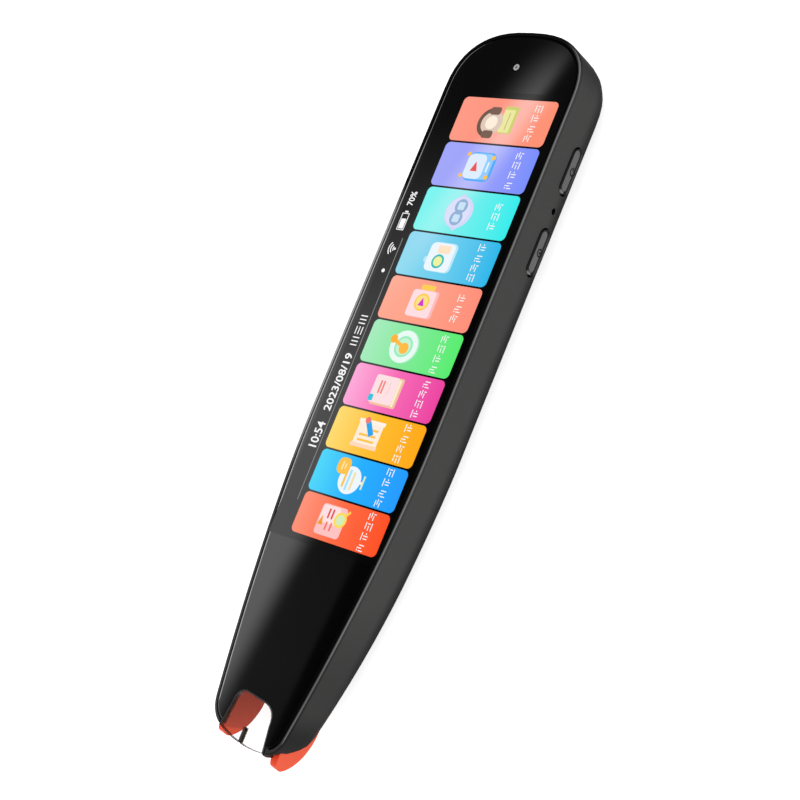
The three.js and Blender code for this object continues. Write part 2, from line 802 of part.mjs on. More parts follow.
function batteryCell() {
  const low = wallThickness + seatGap;
  const shape = new THREE.Shape();
  const half = bodyWidth / 2 - batterySideMargin;
  const batteryTopY = headBossY - bossRadius - batteryBossGap;
  const batteryTipY = riseY + batteryRiseGap;
  shape.moveTo(half - batteryEdge, low);
  shape.quadraticCurveTo(half, low, half, low + batteryEdge);
  shape.lineTo(half, low + batteryThickness - batteryEdge);
  shape.quadraticCurveTo(half, low + batteryThickness, half - batteryEdge, low + batteryThickness);
  shape.lineTo(batteryEdge - half, low + batteryThickness);
  shape.quadraticCurveTo(-half, low + batteryThickness, -half, low + batteryThickness - batteryEdge);
  shape.lineTo(-half, low + batteryEdge);
  shape.quadraticCurveTo(-half, low, batteryEdge - half, low);
  shape.closePath();
  const geometry = new THREE.ExtrudeGeometry(shape, {
    depth: batteryTopY - batteryTipY, bevelEnabled: false, curveSegments: 4,
  });
  geometry.rotateX(Math.PI / 2);
  geometry.translate(0, batteryTopY, 0);
  return geometry;
}

addPart('battery', batteryCell(), 'battery');

// Liner of the scanning gap, with the pane's seat, the camera sleeve and the light ports

const linerOuterX = forkWidth / 2 + linerWall;
const linerTopZ = ledgeZ - seatGap;
const linerEndY = finBackY + skidTravel + seatGap;
const paneSeatDepth = paneThickness + seatGap;

function scanLiner() {
  const block = toSolid(boxBetween([-linerOuterX, linerEndY, 0], [linerOuterX, linerBackY, linerTopZ]));
  const inside = bodyForm(wallThickness + clearance, [[wallThickness + clearance, frontZ]]);
  const gap = boxBetween([-forkWidth / 2, linerEndY - cutOverrun, -cutOverrun],
    [forkWidth / 2, linerFaceY, linerTopZ - linerWall]);
  const paneSeat = boxBetween(
    [-paneWidth / 2 - seatGap, linerFaceY - seatGap, paneCentreHeight - paneHeight / 2 - seatGap],
    [paneWidth / 2 + seatGap, linerFaceY + paneSeatDepth, paneCentreHeight + paneHeight / 2 + seatGap]);
  const sleeve = roundBar(barrelRadius + seatGap + sleeveWall,
    [0, linerBackY - linerDepth / 4, paneCentreHeight], [0, linerBackY + sleeveLength, paneCentreHeight]);
  const sleeveBore = roundBar(barrelRadius + seatGap,
    [0, linerFaceY, paneCentreHeight], [0, linerBackY + sleeveLength + cutOverrun, paneCentreHeight]);
  const ports = [-1, 1].map((side) => boxBetween(
    [side * (lightSpread / 2) - lightWidth / 2, linerFaceY, paneCentreHeight - lightHeight / 2],
    [side * (lightSpread / 2) + lightWidth / 2, linerBackY + cutOverrun, paneCentreHeight + lightHeight / 2]));
  const liner = block.intersect(toSolid(inside)).subtract(toSolid(gap)).add(toSolid(sleeve));
  return cutAway(liner, [paneSeat, sleeveBore, ...ports]);
}

addPart('scan_liner', toGeometry(scanLiner()), 'black');

addPart('scan_pane', boxBetween(
  [-paneWidth / 2, linerFaceY, paneCentreHeight - paneHeight / 2],
  [paneWidth / 2, linerFaceY + paneThickness, paneCentreHeight + paneHeight / 2]), 'clear');

function scanBarrel() {
  const body = toSolid(roundBar(barrelRadius, [0, barrelFrontY, paneCentreHeight],
    [0, barrelFrontY + barrelLength, paneCentreHeight]));
  return cutAway(body, [roundBar(scanLensRadius + seatGap,
    [0, barrelFrontY - cutOverrun, paneCentreHeight],
    [0, barrelFrontY + scanLensBulge + clearance, paneCentreHeight])]);
}

addPart('scan_barrel', toGeometry(scanBarrel()), 'black');

function scanLens() {
  const steps = 4;
  const backZ = scanLensBulge;
  const profile = [[0, -backZ / 2]];
  for (let i = 0; i <= steps; i += 1) {
    const angle = (Math.PI / 2) * (i / steps);
    profile.push([scanLensRadius * Math.cos(angle), (backZ / 2) * Math.sin(angle)]);
  }
  profile[1] = [scanLensRadius, 0];
  profile.splice(1, 0, [scanLensRadius, -backZ / 2]);
  profile[profile.length - 1][0] = 0;
  const geometry = new THREE.LatheGeometry(
    profile.map(([radius, height]) => new THREE.Vector2(radius, height)), 24);
  geometry.rotateX(Math.PI);
  geometry.translate(0, barrelFrontY + scanLensBulge / 2, paneCentreHeight);
  return geometry;
}

addPart('scan_lens', scanLens(), 'clear');

[-1, 1].forEach((side, i) => {
  const x = side * (lightSpread / 2);
  addPart(`scan_light_${i + 1}`, boxBetween(
    [x - lightWidth / 2, linerBackY + seatGap, paneCentreHeight - lightHeight / 2],
    [x + lightWidth / 2, linerBackY + seatGap + lightDepth, paneCentreHeight + lightHeight / 2]), 'light');
});

// Skids: each fin is wide past the liner and carries a thin stem back to the yoke

const stemBackZ = (skidFront + skidBack) / 2 - stemWidth / 2;
const stemX = skidOuterX - stemThickness;

function finShape() {
  const shape = new THREE.Shape();
  const edge = finEdgeShares.map((share, i) => new THREE.Vector2(
    skidTipY + skidLength * share, THREE.MathUtils.lerp(skidBack, skidFront, finEdgeHeightShares[i])));
  shape.moveTo(finBackY, skidBack);
  shape.lineTo(finBackY, skidFront);
  shape.lineTo(edge[0].x, edge[0].y);
  shape.splineThru(edge.slice(1));
  shape.closePath();
  return shape;
}

function skidFin(side) {
  const plate = toSolid(sideways(finShape(), forkWidth / 2, skidOuterX, 3));
  const stem = boxBetween([stemX, finBackY - stemThickness, stemBackZ],
    [skidOuterX, yokeBackY, stemBackZ + stemWidth]);
  const fin = toGeometry(plate.add(toSolid(stem)));
  if (side < 0) {
    fin.scale(-1, 1, 1);
    fin.setIndex([...fin.index.array].reverse());
    fin.computeVertexNormals();
  }
  return fin;
}

addPart('skid_fin_left', skidFin(-1), 'skid');
addPart('skid_fin_right', skidFin(1), 'skid');

addPart('skid_yoke', boxBetween(
  [seatGap - stemX, yokeY, stemBackZ], [stemX - seatGap, yokeBackY, stemBackZ + stemWidth]), 'skid');

// Switch that the yoke presses

const triggerBoreDepth = plungerSunk + skidTravel + clearance;
const triggerFaceY = yokeBackY + seatGap + plungerStand + skidTravel;

function triggerSwitch() {
  const body = toSolid(boxBetween(
    [-switchLength / 2, triggerFaceY, boardHeight - seatGap - switchHeight],
    [switchLength / 2, triggerFaceY + switchDepth, boardHeight - seatGap]));
  const z = boardHeight - seatGap - switchHeight / 2;
  return cutAway(body, [roundBar(plungerRadius + clearance, [0, triggerFaceY - cutOverrun, z],
    [0, triggerFaceY + triggerBoreDepth, z], 16)]);
}

addPart('trigger_switch', toGeometry(triggerSwitch()), 'black');

addPart('trigger_plunger', roundBar(plungerRadius,
  [0, yokeBackY + seatGap, boardHeight - seatGap - switchHeight / 2],
  [0, triggerFaceY + plungerSunk, boardHeight - seatGap - switchHeight / 2], 16), 'plunger');

// Aiming rib, let into the end of the clear window

addPart('aiming_rib', boxBetween(
  [-ribWidth / 2, ribY, frontZ - ribDepth],
  [ribWidth / 2, ribY + ribLength, frontZ]), 'black');

export default pen;
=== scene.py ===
import json

import bpy
import numpy as np
from mathutils import Matrix, Vector


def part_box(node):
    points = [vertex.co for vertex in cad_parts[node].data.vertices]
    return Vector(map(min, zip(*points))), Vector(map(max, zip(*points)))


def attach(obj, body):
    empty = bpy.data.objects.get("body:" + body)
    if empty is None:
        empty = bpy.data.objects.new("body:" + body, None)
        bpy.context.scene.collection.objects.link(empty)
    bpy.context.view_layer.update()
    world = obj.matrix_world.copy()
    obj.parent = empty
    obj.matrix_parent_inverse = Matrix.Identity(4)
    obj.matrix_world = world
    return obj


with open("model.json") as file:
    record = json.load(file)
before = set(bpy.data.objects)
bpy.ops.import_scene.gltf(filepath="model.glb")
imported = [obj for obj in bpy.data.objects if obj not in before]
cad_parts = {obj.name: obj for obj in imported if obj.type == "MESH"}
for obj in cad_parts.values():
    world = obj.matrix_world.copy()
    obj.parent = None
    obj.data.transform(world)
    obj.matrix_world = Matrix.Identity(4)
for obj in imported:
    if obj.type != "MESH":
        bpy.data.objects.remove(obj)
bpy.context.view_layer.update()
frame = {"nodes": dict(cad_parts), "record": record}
nodes = frame["nodes"]
mm = 0.001
tiny = 0.0001
print("frame loaded:", len(nodes), "nodes")


def linked(name, data):
    made = bpy.data.objects.new(name, data)
    bpy.context.scene.collection.objects.link(made)
    return made


# The camera stands as for the photo. Its own directions are right, up and ahead.
cameraLook = {
    "spot": (0.15072, -0.01793, 0.18355),
    "right": (0.7172, 0.3784, -0.5852),
    "up": (-0.2450, 0.9230, 0.2966),
    "ahead": (-0.6524, 0.0693, -0.7547),
    "lens": 51.75, "sensor": 36, "near": 0.01, "far": 20,
}
cameraData = bpy.data.cameras.new("studioCamera")
cameraData.lens = cameraLook["lens"]
cameraData.sensor_width = cameraLook["sensor"]
cameraData.clip_start = cameraLook["near"]
cameraData.clip_end = cameraLook["far"]
camera = linked("studioCamera", cameraData)
right, up, ahead = (np.array(cameraLook[key]) for key in ("right", "up", "ahead"))
turn = np.eye(4)
turn[:3, :3] = np.stack([right, up, -ahead], axis=1)
turn[:3, 3] = cameraLook["spot"]
camera.matrix_world = Matrix(turn.tolist())
bpy.context.scene.camera = camera
print("camera placed")


def operator(operation):
    return lambda self, other: self.maths(operation, self, other)


# One output socket: each operator adds a Math node.
class Signal:
    def __init__(self, graph, socket):
        self.graph, self.socket = graph, socket

    def maths(self, operation, first, second=0, clamp=False):
        settings = {"operation": operation, "use_clamp": clamp}
        return self.graph.add("Math", settings, {0: first, 1: second})

    __add__ = operator("ADD")
    __sub__ = operator("SUBTRACT")
    __mul__ = operator("MULTIPLY")
    __truediv__ = operator("DIVIDE")
    __pow__ = operator("POWER")
    __radd__ = __add__
    __rmul__ = __mul__

    def __rsub__(self, other):
        return self.maths("SUBTRACT", other, self)

    def squared(self):
        return self * self

    # The first end where this is 0 and the second where it is 1. Ends are a pair or its name in
    # the look.
    def between(self, ends):
        low, high = self.graph.named(ends)
        return low + self * (high - low)

    def clamped(self):
        return self.maths("ADD", self, 0, True)

    # 0 before the first end, 1 past the second and a straight line between them, up or down
    def ramp(self, ends):
        low, high = self.graph.named(ends)
        return ((self - low) / (high - low)).clamped()

    # The same, but smooth at both ends
    def rising(self, ends):
        share = self.ramp(ends)
        return share * share * (3 - 2 * share)


# The nodes of one material or of the world, whose kinds are named without their ShaderNode.
class Graph:
    def __init__(self, owner, look=None, output="OutputMaterial"):
        owner.use_nodes = True
        self.owner, self.look = owner, look
        self.tree = owner.node_tree
        self.tree.nodes.clear()
        self.output = self.tree.nodes.new("ShaderNode" + output)

    def add(self, kind, settings=None, inputs=None, out=0):
        node = self.tree.nodes.new("ShaderNode" + kind)
        for key, value in (settings or {}).items():
            setattr(node, key, value)
        for key, value in (inputs or {}).items():
            if isinstance(value, Signal):
                self.tree.links.new(value.socket, node.inputs[key])
            else:
                node.inputs[key].default_value = value
        return Signal(self, node.outputs[out])

    def named(self, value):
        return self.look[value] if isinstance(value, str) else value

    # A colour, a grey or a signal, or the name of one in the look
    def shade(self, value):
        value = self.named(value)
        return value if isinstance(value, Signal) else rgba(value)

    def place(self, scale=(1, 1, 1)):
        where = self.add("TexCoord", out="Object")
        return self.add("Mapping", inputs={"Vector": where, "Scale": scale})

    def parts(self, vector):
        split = self.add("SeparateXYZ", inputs={"Vector": vector})
        return [Signal(self, output) for output in split.socket.node.outputs]

    def millimetres(self):
        return self.parts(self.place((1 / mm, 1 / mm, 1 / mm)))

    def facetNormal(self):
        return self.parts(self.add("NewGeometry", out="True Normal"))

    def noise(self, where, scale, detail=2):
        return self.add("TexNoise", inputs={"Vector": where, "Scale": scale, "Detail": detail})

    # A Mix node has its colours in inputs 6 and 7 and output 2, and its vectors in 4, 5 and 1.
    def blend(self, factor, first, second):
        inputs = {0: factor, 6: self.shade(first), 7: self.shade(second)}
        return self.add("Mix", {"data_type": "RGBA"}, inputs, out=2)

    def blendVectors(self, factor, first, second):
        return self.add("Mix", {"data_type": "VECTOR"}, {0: factor, 4: first, 5: second}, out=1)

    # The look's colour, from a darker to a lighter share of it
    def shades(self, factor):
        low, high = (rgba(self.look["colour"], share)[:3] for share in self.look["shades"])
        return self.blend(factor, low, high)

    def vector(self, x, y, z):
        joined = self.add("CombineXYZ", inputs={"X": x, "Y": y, "Z": z})
        return self.add("VectorMath", {"operation": "NORMALIZE"}, {0: joined})

    def agreement(self, first, second):
        settings = {"operation": "DOT_PRODUCT"}
        return self.add("VectorMath", settings, {0: first, 1: second}, out="Value")

    def bump(self, height, distance, normal=None):
        inputs = {"Height": height, "Distance": distance}
        if normal:
            inputs["Normal"] = normal
        return self.add("Bump", inputs=inputs)

    # 1 for rays that see a surface directly, in a mirror or through glass
    def seen(self):
        rays = self.add("LightPath").socket.node.outputs
        names = ("Is Camera Ray", "Is Glossy Ray", "Is Transmission Ray")
        direct, glossy, passed = (Signal(self, rays[name]) for name in names)
        return (direct + glossy + passed).clamped()

    def close(self, shader):
        self.tree.links.new(shader.socket, self.output.inputs[0])
        return self.owner

    def principled(self, values):
        return self.close(self.add("BsdfPrincipled", inputs=values))


# A colour has three shares of light, or one as a grey.
def rgba(colour, share=1):
    red, green, blue = colour if isinstance(colour, tuple) else (colour, colour, colour)
    return (red * share, green * share, blue * share, 1)


def material(name, look=None):
    return Graph(bpy.data.materials.new(name), look)


# Distance across from a slanted line, which goes through a point and leans by a share.
def fromLine(across, along, line):
    pointAcross, pointAlong, lean = line
    return across - ((along - pointAlong) * lean + pointAcross)


# A moulded plastic: its colour and roughness drift with a wide noise, and a fine grain lifts its
# surface. Its look may name a function for a smooth outward direction. A shading function may
# replace inputs by place, and make some places dull, which leaves them one dark colour without a
# mirror image.
def moulded(name, look, shading=None):
    graph = material(name, look)
    where = graph.place()
    drift = graph.noise(where, look["driftScale"], 3)
    grainScale, grainDepth = look["grain"]
    colour = graph.shades(drift)
    outward = look["rounding"](graph) if "rounding" in look else None
    values = {
        "Base Color": colour,
        "Roughness": drift.between("roughness"),
        "Specular IOR Level": look.get("gloss", 0.5),
        "Subsurface Weight": look.get("glow", 0),
        "Subsurface Scale": 2 * mm,
        "Alpha": look.get("alpha", 1),
        "Normal": graph.bump(graph.noise(where, grainScale), grainDepth, outward),
    }
    if shading:
        values.update(shading(graph, colour, look))
    dull = values.pop("dull", None)
    shader = graph.add("BsdfPrincipled", inputs=values)
    if dull:
        matte = graph.add("BsdfDiffuse", inputs={"Color": rgba(look["dullColour"])})
        shader = graph.add("MixShader", inputs={0: dull, 1: shader, 2: matte})
    return graph.close(shader)


# Places in mm that the shell and its keys share. In every look a pair is where something begins
# and where it is full.
keyPlace = {
    "between": 42.9, "nearHead": (42.85, 42.95), "powerAlong": 51.55, "functionAlong": 34.25,
    "halfStraight": 3.3, "keyLevel": 7.2,
}


# Squared distance in mm from the middle line of the nearer side key, and the place along it.
def fromKey(y, z, look):
    nearHead = y.rising("nearHead")
    alongKey = y - (look["functionAlong"] + nearHead * (look["powerAlong"] - look["functionAlong"]))
    outside = alongKey.maths("ABSOLUTE", alongKey) - look["halfStraight"]
    past = outside.maths("MAXIMUM", outside, 0)
    return past.squared() + (z - look["keyLevel"]).squared(), alongKey


# The pen's outline in mm is straight, then narrower by a power of the way to the tip, and round at
# the head, where the powers of both directions add up to 1.
outlineForm = {
    "half": 16.8, "taperAlong": (-9.7, -70), "taper": 6.18, "taperPower": 1.7,
    "headAlong": (62.75, 76.75), "roundness": 2.55,
}


# Distance in mm inside the outline. The share is -1 at the left edge and 1 at the right one,
# upward grows from 0 to 1 round the head, and past from 0 to 1 along the narrower part.
def fromOutline(x, y):
    past = y.ramp(outlineForm["taperAlong"])
    half = outlineForm["half"] - outlineForm["taper"] * past ** outlineForm["taperPower"]
    share = x / half
    upward = y.ramp(outlineForm["headAlong"])
    power = outlineForm["roundness"]
    reach = (share.squared() ** (power / 2) + upward ** power) ** (1 / power)
    return half * (1 - reach), share, upward, past


# The shell's outward direction by place: that of the outline in plan, turned towards the back
# along the rounded lower edge, whose radius and height change over the tip half. It stands in for
# the facet's own direction where the two nearly agree, but not on the prongs.
edgeForm = {
    "headShape": 0.833, "taperSlope": 0.145, "riseAlong": (-30, -70), "lift": 3, "radius": 7.6,
    "narrower": 1.3, "agree": (0.93, 0.96), "prongs": (-66, -64),
}


def roundedOutside(graph):
    x, y, z = graph.millimetres()
    inside, share, upward, past = fromOutline(x, y)
    power = outlineForm["roundness"] - 1
    planAcross = share * share.squared() ** ((power - 1) / 2) * edgeForm["headShape"]
    planAlong = upward ** power - past ** (outlineForm["taperPower"] - 1) * edgeForm["taperSlope"]
    planLength = (planAcross.squared() + planAlong.squared()) ** 0.5
    rise = y.ramp(edgeForm["riseAlong"])
    radius = edgeForm["radius"] - rise * edgeForm["narrower"]
    down = ((rise.squared() * edgeForm["lift"] + radius - z) / radius).clamped()
    flat = (1 + tiny - down.squared()) ** 0.5 / (planLength + tiny)
    smooth = graph.vector(planAcross * flat, planAlong * flat, down * -1)
    facet = graph.vector(*graph.facetNormal())
    trust = graph.agreement(smooth, facet).rising(edgeForm["agree"]) * y.rising(edgeForm["prongs"])
    return graph.blendVectors(trust, facet, smooth)


# The shell, with painted shade and painted highlights. Its walls are lightest where they face across
# the pen, and painted shade darkens them towards the back, the head's end and the tip. Round each
# key painted shade makes them nearly black.
# The level rim has a painted highlight along both sides, on the right most in its outer half, and is
# dark round the head and the tip's left. Its inner wall gets a third of that highlight. The strip
# below it is painted dark as shade, and so is its slanted edge, less on the right. The small round
# hole between the keys is painted dark as shade too.
shellLook = {
    "colour": (0.077, 0.0762, 0.0755), "shades": (0.95, 1.05), "driftScale": 60, "roughness": (0.38, 0.46),
    "gloss": 0.004, "grain": (9000, 0.00002), "rounding": roundedOutside,
    "wallDark": 0.004, "wallLevels": (3.5, 8.5), "backFacing": (-0.4, -0.9),
    "headWeight": 1.2, "leastFacing": 0.03, "facingPower": 3.5, "tipAlong": (-35, -60), "tipLoss": 0.3,
    "prongsAlong": (-63, -70), "prongsLoss": 0.35,
    "darkColour": 0.006, "sideAcross": (14, 15), "grooveSquares": (3.74, 3.24),
    "holeLevel": 7.5, "holeSquares": (0.5, 0.42),
    "ledgeFacing": (0.8, 0.95), "ledgeLow": (12, 13), "ledgeHigh": (14.4, 14.3),
    "edgeLevels": (14.25, 14.45), "edgeFacing": (0.95, 0.85), "edgeLoss": 0.75,
    "rimLevels": (14.45, 14.55), "rimFacing": (0.9, 0.97), "inwardFacing": (-0.2, -1), "inwardLoss": 0.65,
    "leftAcross": (1, -1), "belowHead": (42, 30), "rimLeft": 0.4, "leftAlong": (-8, -25), "leftLoss": 0.85,
    "rimRight": 0.24, "rightAlong": (-42, -60), "rightLoss": 0.3, "headAcross": (9, 16.5),
    "outerHalf": (0.62, 0.42), "innerShare": 0.22, **keyPlace,
}


def shellShading(graph, colour, look):
    x, y, z = graph.millimetres()
    across, along, level = graph.facetNormal()
    inside, share, upward, past = fromOutline(x, y)
    power = outlineForm["roundness"] - 1
    # Painted shade: the walls darken lower down and as they turn towards the head's end, the tip and the
    # prongs.
    side = share.squared() ** power
    sideways = side / (side + upward ** (2 * power) * look["headWeight"] + tiny)
    loss = look["tipLoss"] * y.rising("tipAlong") + look["prongsLoss"] * y.rising("prongsAlong")
    facing = look["leastFacing"] + sideways ** look["facingPower"] * (1 - look["leastFacing"] - loss)
    lightness = (z.rising("wallLevels") * facing + level.rising("backFacing")).clamped()
    shadedWalls = graph.blend(lightness, "wallDark", colour)

    # Painted highlight on the level rim: along both sides, most on the right, weaker on its inner wall.
    left = x.rising("leftAcross")
    straight = y.rising("belowHead")
    leftLight = left * straight * (1 - look["leftLoss"] * y.rising("leftAlong"))
    rightStraight = straight * (1 - look["rightLoss"] * y.rising("rightAlong"))
    rightSide = (1 - left) * (x.rising("headAcross") * (1 - straight) + rightStraight)
    outer = look["innerShare"] + (1 - look["innerShare"]) * inside.rising("outerHalf")
    rimLight = rightSide * outer * look["rimRight"] + leftLight * look["rimLeft"]
    high = z.rising("rimLevels")
    inward = high * (x * across + y * along).rising("inwardFacing")
    rim = (high * level.rising("rimFacing") + inward).clamped()
    rimLight = rimLight * (1 - look["inwardLoss"] * inward)
    rimHighlightColour = graph.blend(rimLight, "darkColour", 1)

    # Painted shade round the keys, in the hole, on the ledge under the window and on the rim's slanted edge,
    # less on the right.
    onSide = x.rising("sideAcross")
    groove = fromKey(y, z, look)[0].rising("grooveSquares") * onSide
    fromHole = (y - look["between"]).squared() + (z - look["holeLevel"]).squared()
    hole = fromHole.rising("holeSquares") * onSide
    ledge = level.rising("ledgeFacing") * z.rising("ledgeLow") * z.rising("ledgeHigh")
    edge = z.rising("edgeLevels") * level.rising("edgeFacing")
    dark = (groove + ledge + hole + edge * (1 - look["edgeLoss"] * rightSide)).clamped()
    return {"Base Color": graph.blend(rim, graph.blend(dark, shadedWalls, "darkColour"), rimHighlightColour)}


# The cover lens: a painted highlight, a light line along the edge of its face, on the left and round
# the head. Beyond it the cut walls, the slanted edge on the right and that round the head are black
# without a mirror image.
lensLook = {
    "colour": (0.0018, 0.0018, 0.0019), "shades": (0.8, 1.2), "driftScale": 40, "roughness": (0.03, 0.05),
    "grain": (60, 0.000001), "lineColour": 0.45,
    "lineInside": (1.54, 1.42), "leftShares": (0.7, -1), "leftPower": 1.6, "headAlong": (42, 58),
    "headShares": (0.75, 0.2), "headLight": 0.6, "dullColour": 0.004,
    "rightFacing": (-0.1, 0.3), "uprightFacing": (0.3, 0.1), "slantFacing": (0.99, 0.96),
    "dullAlong": (42, 55),
}


def lensShading(graph, colour, look):
    x, y, z = graph.millimetres()
    across, along, level = graph.facetNormal()
    inside, share, upward, past = fromOutline(x, y)
    head = y.rising("headAlong")
    besideTiles = share.ramp("leftShares") ** look["leftPower"] * (1 - head)
    lightness = besideTiles + head * share.rising("headShares") * look["headLight"]
    # Painted highlight: a light line just inside the face's edge.
    line = inside.rising("lineInside") * lightness
    outward = across.rising("rightFacing") + level.rising("uprightFacing")
    dull = level.rising("slantFacing") * (outward + y.rising("dullAlong")).clamped()
    return {"Base Color": graph.blend(line, colour, "lineColour"), "dull": dull}


# The keys, with painted shade and a painted highlight: the outward face is light inside an edge of
# painted shade, and the edge's corner at the tip's end and towards the front has a painted highlight.
# Below its lower edge the cap is as dark as the wall. The sides that go into the shell are painted
# dark as shade.
keyLook = {
    "colour": 0.165, "shades": (0.92, 1.08), "driftScale": 150, "roughness": (0.32, 0.4),
    "gloss": 0.02, "grain": (9000, 0.000015), "faceRise": 0.55, "faceSquares": (1.1025, 0.8025),
    "outward": (0.4, 0.8), "sideColour": 0.004,
    "upperColour": 0.03, "upperLevels": (7.2, 7.7),
    "lowerColour": 0.055, "lowerLevels": (6.35, 6.2),
    "shineColour": 0.36, "shineSquares": (1.1, 1.5), "shineAlong": (-3.3, -3.8),
    "shineLevels": (7.2, 7.9), **keyPlace,
}


def keyShading(graph, colour, look):
    x, y, z = graph.millimetres()
    outward = graph.facetNormal()[0].rising("outward")
    squares, alongKey = fromKey(y, z - look["faceRise"], look)
    # Painted shade on the sides and the face's edge, and a painted highlight on its upper tip-side corner.
    upper = graph.blend(z.rising("upperLevels"), "sideColour", "upperColour")
    lower = graph.blend(z.rising("lowerLevels") * outward, upper, "lowerColour")
    corner = squares.rising("shineSquares") * alongKey.rising("shineAlong")
    edge = graph.blend(corner * z.rising("shineLevels"), lower, "shineColour")
    return {"Base Color": graph.blend(outward * squares.rising("faceSquares"), edge, colour)}


# The skids: the edges that face down and away have a deeper painted shade than the flat sides, and
# the left skid's side under the window is painted darker as shade.
skidLook = {
    "colour": (1, 0.105, 0.033), "shades": (0.96, 1.04), "driftScale": 140, "roughness": (0.28, 0.38),
    "gloss": 0.25, "grain": (5000, 0.00001), "glow": 0.1, "edgeColour": (1, 0.07, 0.015),
    "flatFacing": (0.5, 0.9), "underColour": (0.66, 0.07, 0.025), "underAcross": (0, -1),
    "underAlong": (-75.3, -74.8),
}


def skidShading(graph, colour, look):
    x, y, z = graph.millimetres()
    across = graph.facetNormal()[0]
    # Painted shade on the edges and on the left skid's side under the window.
    flat = across.squared().rising("flatFacing")
    under = x.rising("underAcross") * y.rising("underAlong")
    sides = graph.blend(under * across.rising("flatFacing"), colour, "underColour")
    return {"Base Color": graph.blend(flat, "edgeColour", sides)}


# The clear window: its upright edges are a dull dark line.
windowLook = {
    "colour": 0.03, "shades": (0.98, 1.02), "driftScale": 80, "roughness": (0.02, 0.06),
    "gloss": 0.15, "grain": (90, 0.000001), "alphas": (0.09, 0.8),
    "uprightSquares": (0.5, 0.2), "lineColour": (0.03, 0.012, 0.008),
}


def windowShading(graph, colour, look):
    line = graph.facetNormal()[2].squared().rising("uprightSquares")
    return {
        "Base Color": graph.blend(line, colour, "lineColour"),
        "Metallic": line,
        "Alpha": line.between("alphas"),
    }


# A worked metal: fine lines of noise stretched along one direction break up its gloss.
def worked(name, look):
    graph = material(name, look)
    lines = graph.noise(graph.place(look["stretch"]), look["lineScale"], 3)
    return graph.principled({
        "Base Color": graph.shades(graph.noise(graph.place(), look["stainScale"], 3)),
        "Metallic": 1,
        "Roughness": lines.between("roughness"),
        "Normal": graph.bump(lines, look["lineDepth"]),
    })


# A woven cloth: two crossed waves of threads under a fuzz of noise.
def woven(name, look):
    graph = material(name, look)
    x, y, z = graph.parts(graph.place())
    across = x.maths("SINE", x * look["threads"])
    along = y.maths("SINE", y * look["threads"])
    fuzz = graph.noise(graph.place(), look["fuzzScale"])
    return graph.principled({
        "Base Color": graph.shades(fuzz),
        "Roughness": fuzz.between("roughness"),
        "Normal": graph.bump(across * along, look["depth"]),
    })


# A circuit board: solder mask over copper traces, which show as lighter lines between cells.
def circuit(name, look):
    graph = material(name, look)
    where = graph.place()
    settings = {"feature": "DISTANCE_TO_EDGE", "distance": "EUCLIDEAN"}
    cells = graph.add("TexVoronoi", settings, {"Vector": where, "Scale": look["cellScale"]})
    trace = cells.rising("traceEdge")
    grain = graph.noise(where, look["grainScale"])
    return graph.principled({
        "Base Color": graph.blend(trace, "mask", "trace"),
        "Roughness": grain.between("roughness"),
        "Normal": graph.bump(trace + grain * look["grain"], look["depth"]),
    })


# The plain plastics, a row each. What a row leaves out is as in any moulded plastic.
plainKeys = ("colour", "shades", "driftScale", "roughness", "grain", "gloss", "alpha")
plainLooks = {
    "pane": ((0.12, 0.07, 0.08), (0.9, 1.1), 90, (0.04, 0.08), (120, 0.000004), 0.5, 0.6),
    "display": ((0.008, 0.009, 0.012), (0.9, 1.1), 90, (0.17, 0.23), (2500, 0.000006)),
    "black": ((0.012, 0.012, 0.013), (0.85, 1.15), 120, (0.32, 0.44), (7000, 0.00002), 0.4),
    "gasket": ((0.02, 0.02, 0.022), (0.8, 1.2), 300, (0.72, 0.88), (4000, 0.00006), 0.3),
    "light": ((0.85, 0.82, 0.68), (0.95, 1.05), 400, (0.25, 0.35), (5000, 0.00001)),
    "plunger": ((0.62, 0.59, 0.53), (0.94, 1.06), 300, (0.4, 0.5), (6000, 0.00001), 0.4),
}
steelLook = {
    "colour": (0.5, 0.51, 0.52), "shades": (0.88, 1.08), "stretch": (1, 12, 1), "lineScale": 900,
    "stainScale": 150, "roughness": (0.26, 0.42), "lineDepth": 0.000008,
}
foilLook = {
    "colour": (0.5, 0.51, 0.53), "shades": (0.88, 1.08), "stretch": (1, 1, 1), "lineScale": 260,
    "stainScale": 80, "roughness": (0.36, 0.56), "lineDepth": 0.00008,
}
clothLook = {
    "colour": 0.008, "shades": (0.6, 1.5), "threads": 12000, "fuzzScale": 3000,
    "roughness": (0.85, 0.95), "depth": 0.00005,
}
boardLook = {
    "mask": (0.012, 0.085, 0.045), "trace": (0.02, 0.15, 0.075), "cellScale": 900, "traceEdge": (0.05, 0.025),
    "grainScale": 3000, "grain": 0.2, "roughness": (0.3, 0.45), "depth": 0.00003,
}
finishes = {
    "shell": moulded("shellFinish", shellLook, shellShading),
    "lens": moulded("lensFinish", lensLook, lensShading),
    "window": moulded("windowFinish", windowLook, windowShading),
    "key": moulded("keyFinish", keyLook, keyShading),
    "skid": moulded("skidFinish", skidLook, skidShading),
    "steel": worked("steelFinish", steelLook),
    "battery": worked("foilFinish", foilLook),
    "cloth": woven("clothFinish", clothLook),
    "board": circuit("boardFinish", boardLook),
    **{slot: moulded(slot + "Finish", dict(zip(plainKeys, row))) for slot, row in plainLooks.items()},
}
for part in frame["record"]["subparts"]:
    carried = nodes[part["node"]]
    carried.data.materials.clear()
    carried.data.materials.append(finishes[part["material_slot"]])
print("finishes given to the carried nodes")


# An outline in mm round its middle: corner arcs of the radius, joined by the straight sides.
def roundedBox(halfAcross, halfAlong, radius, count=48):
    angle = (np.arange(count) + 0.5) * 2 * np.pi / count
    way = np.stack([np.cos(angle), np.sin(angle)], axis=1)
    corner = np.sign(way) * np.array([halfAcross - radius, halfAlong - radius])
    return corner + way * radius


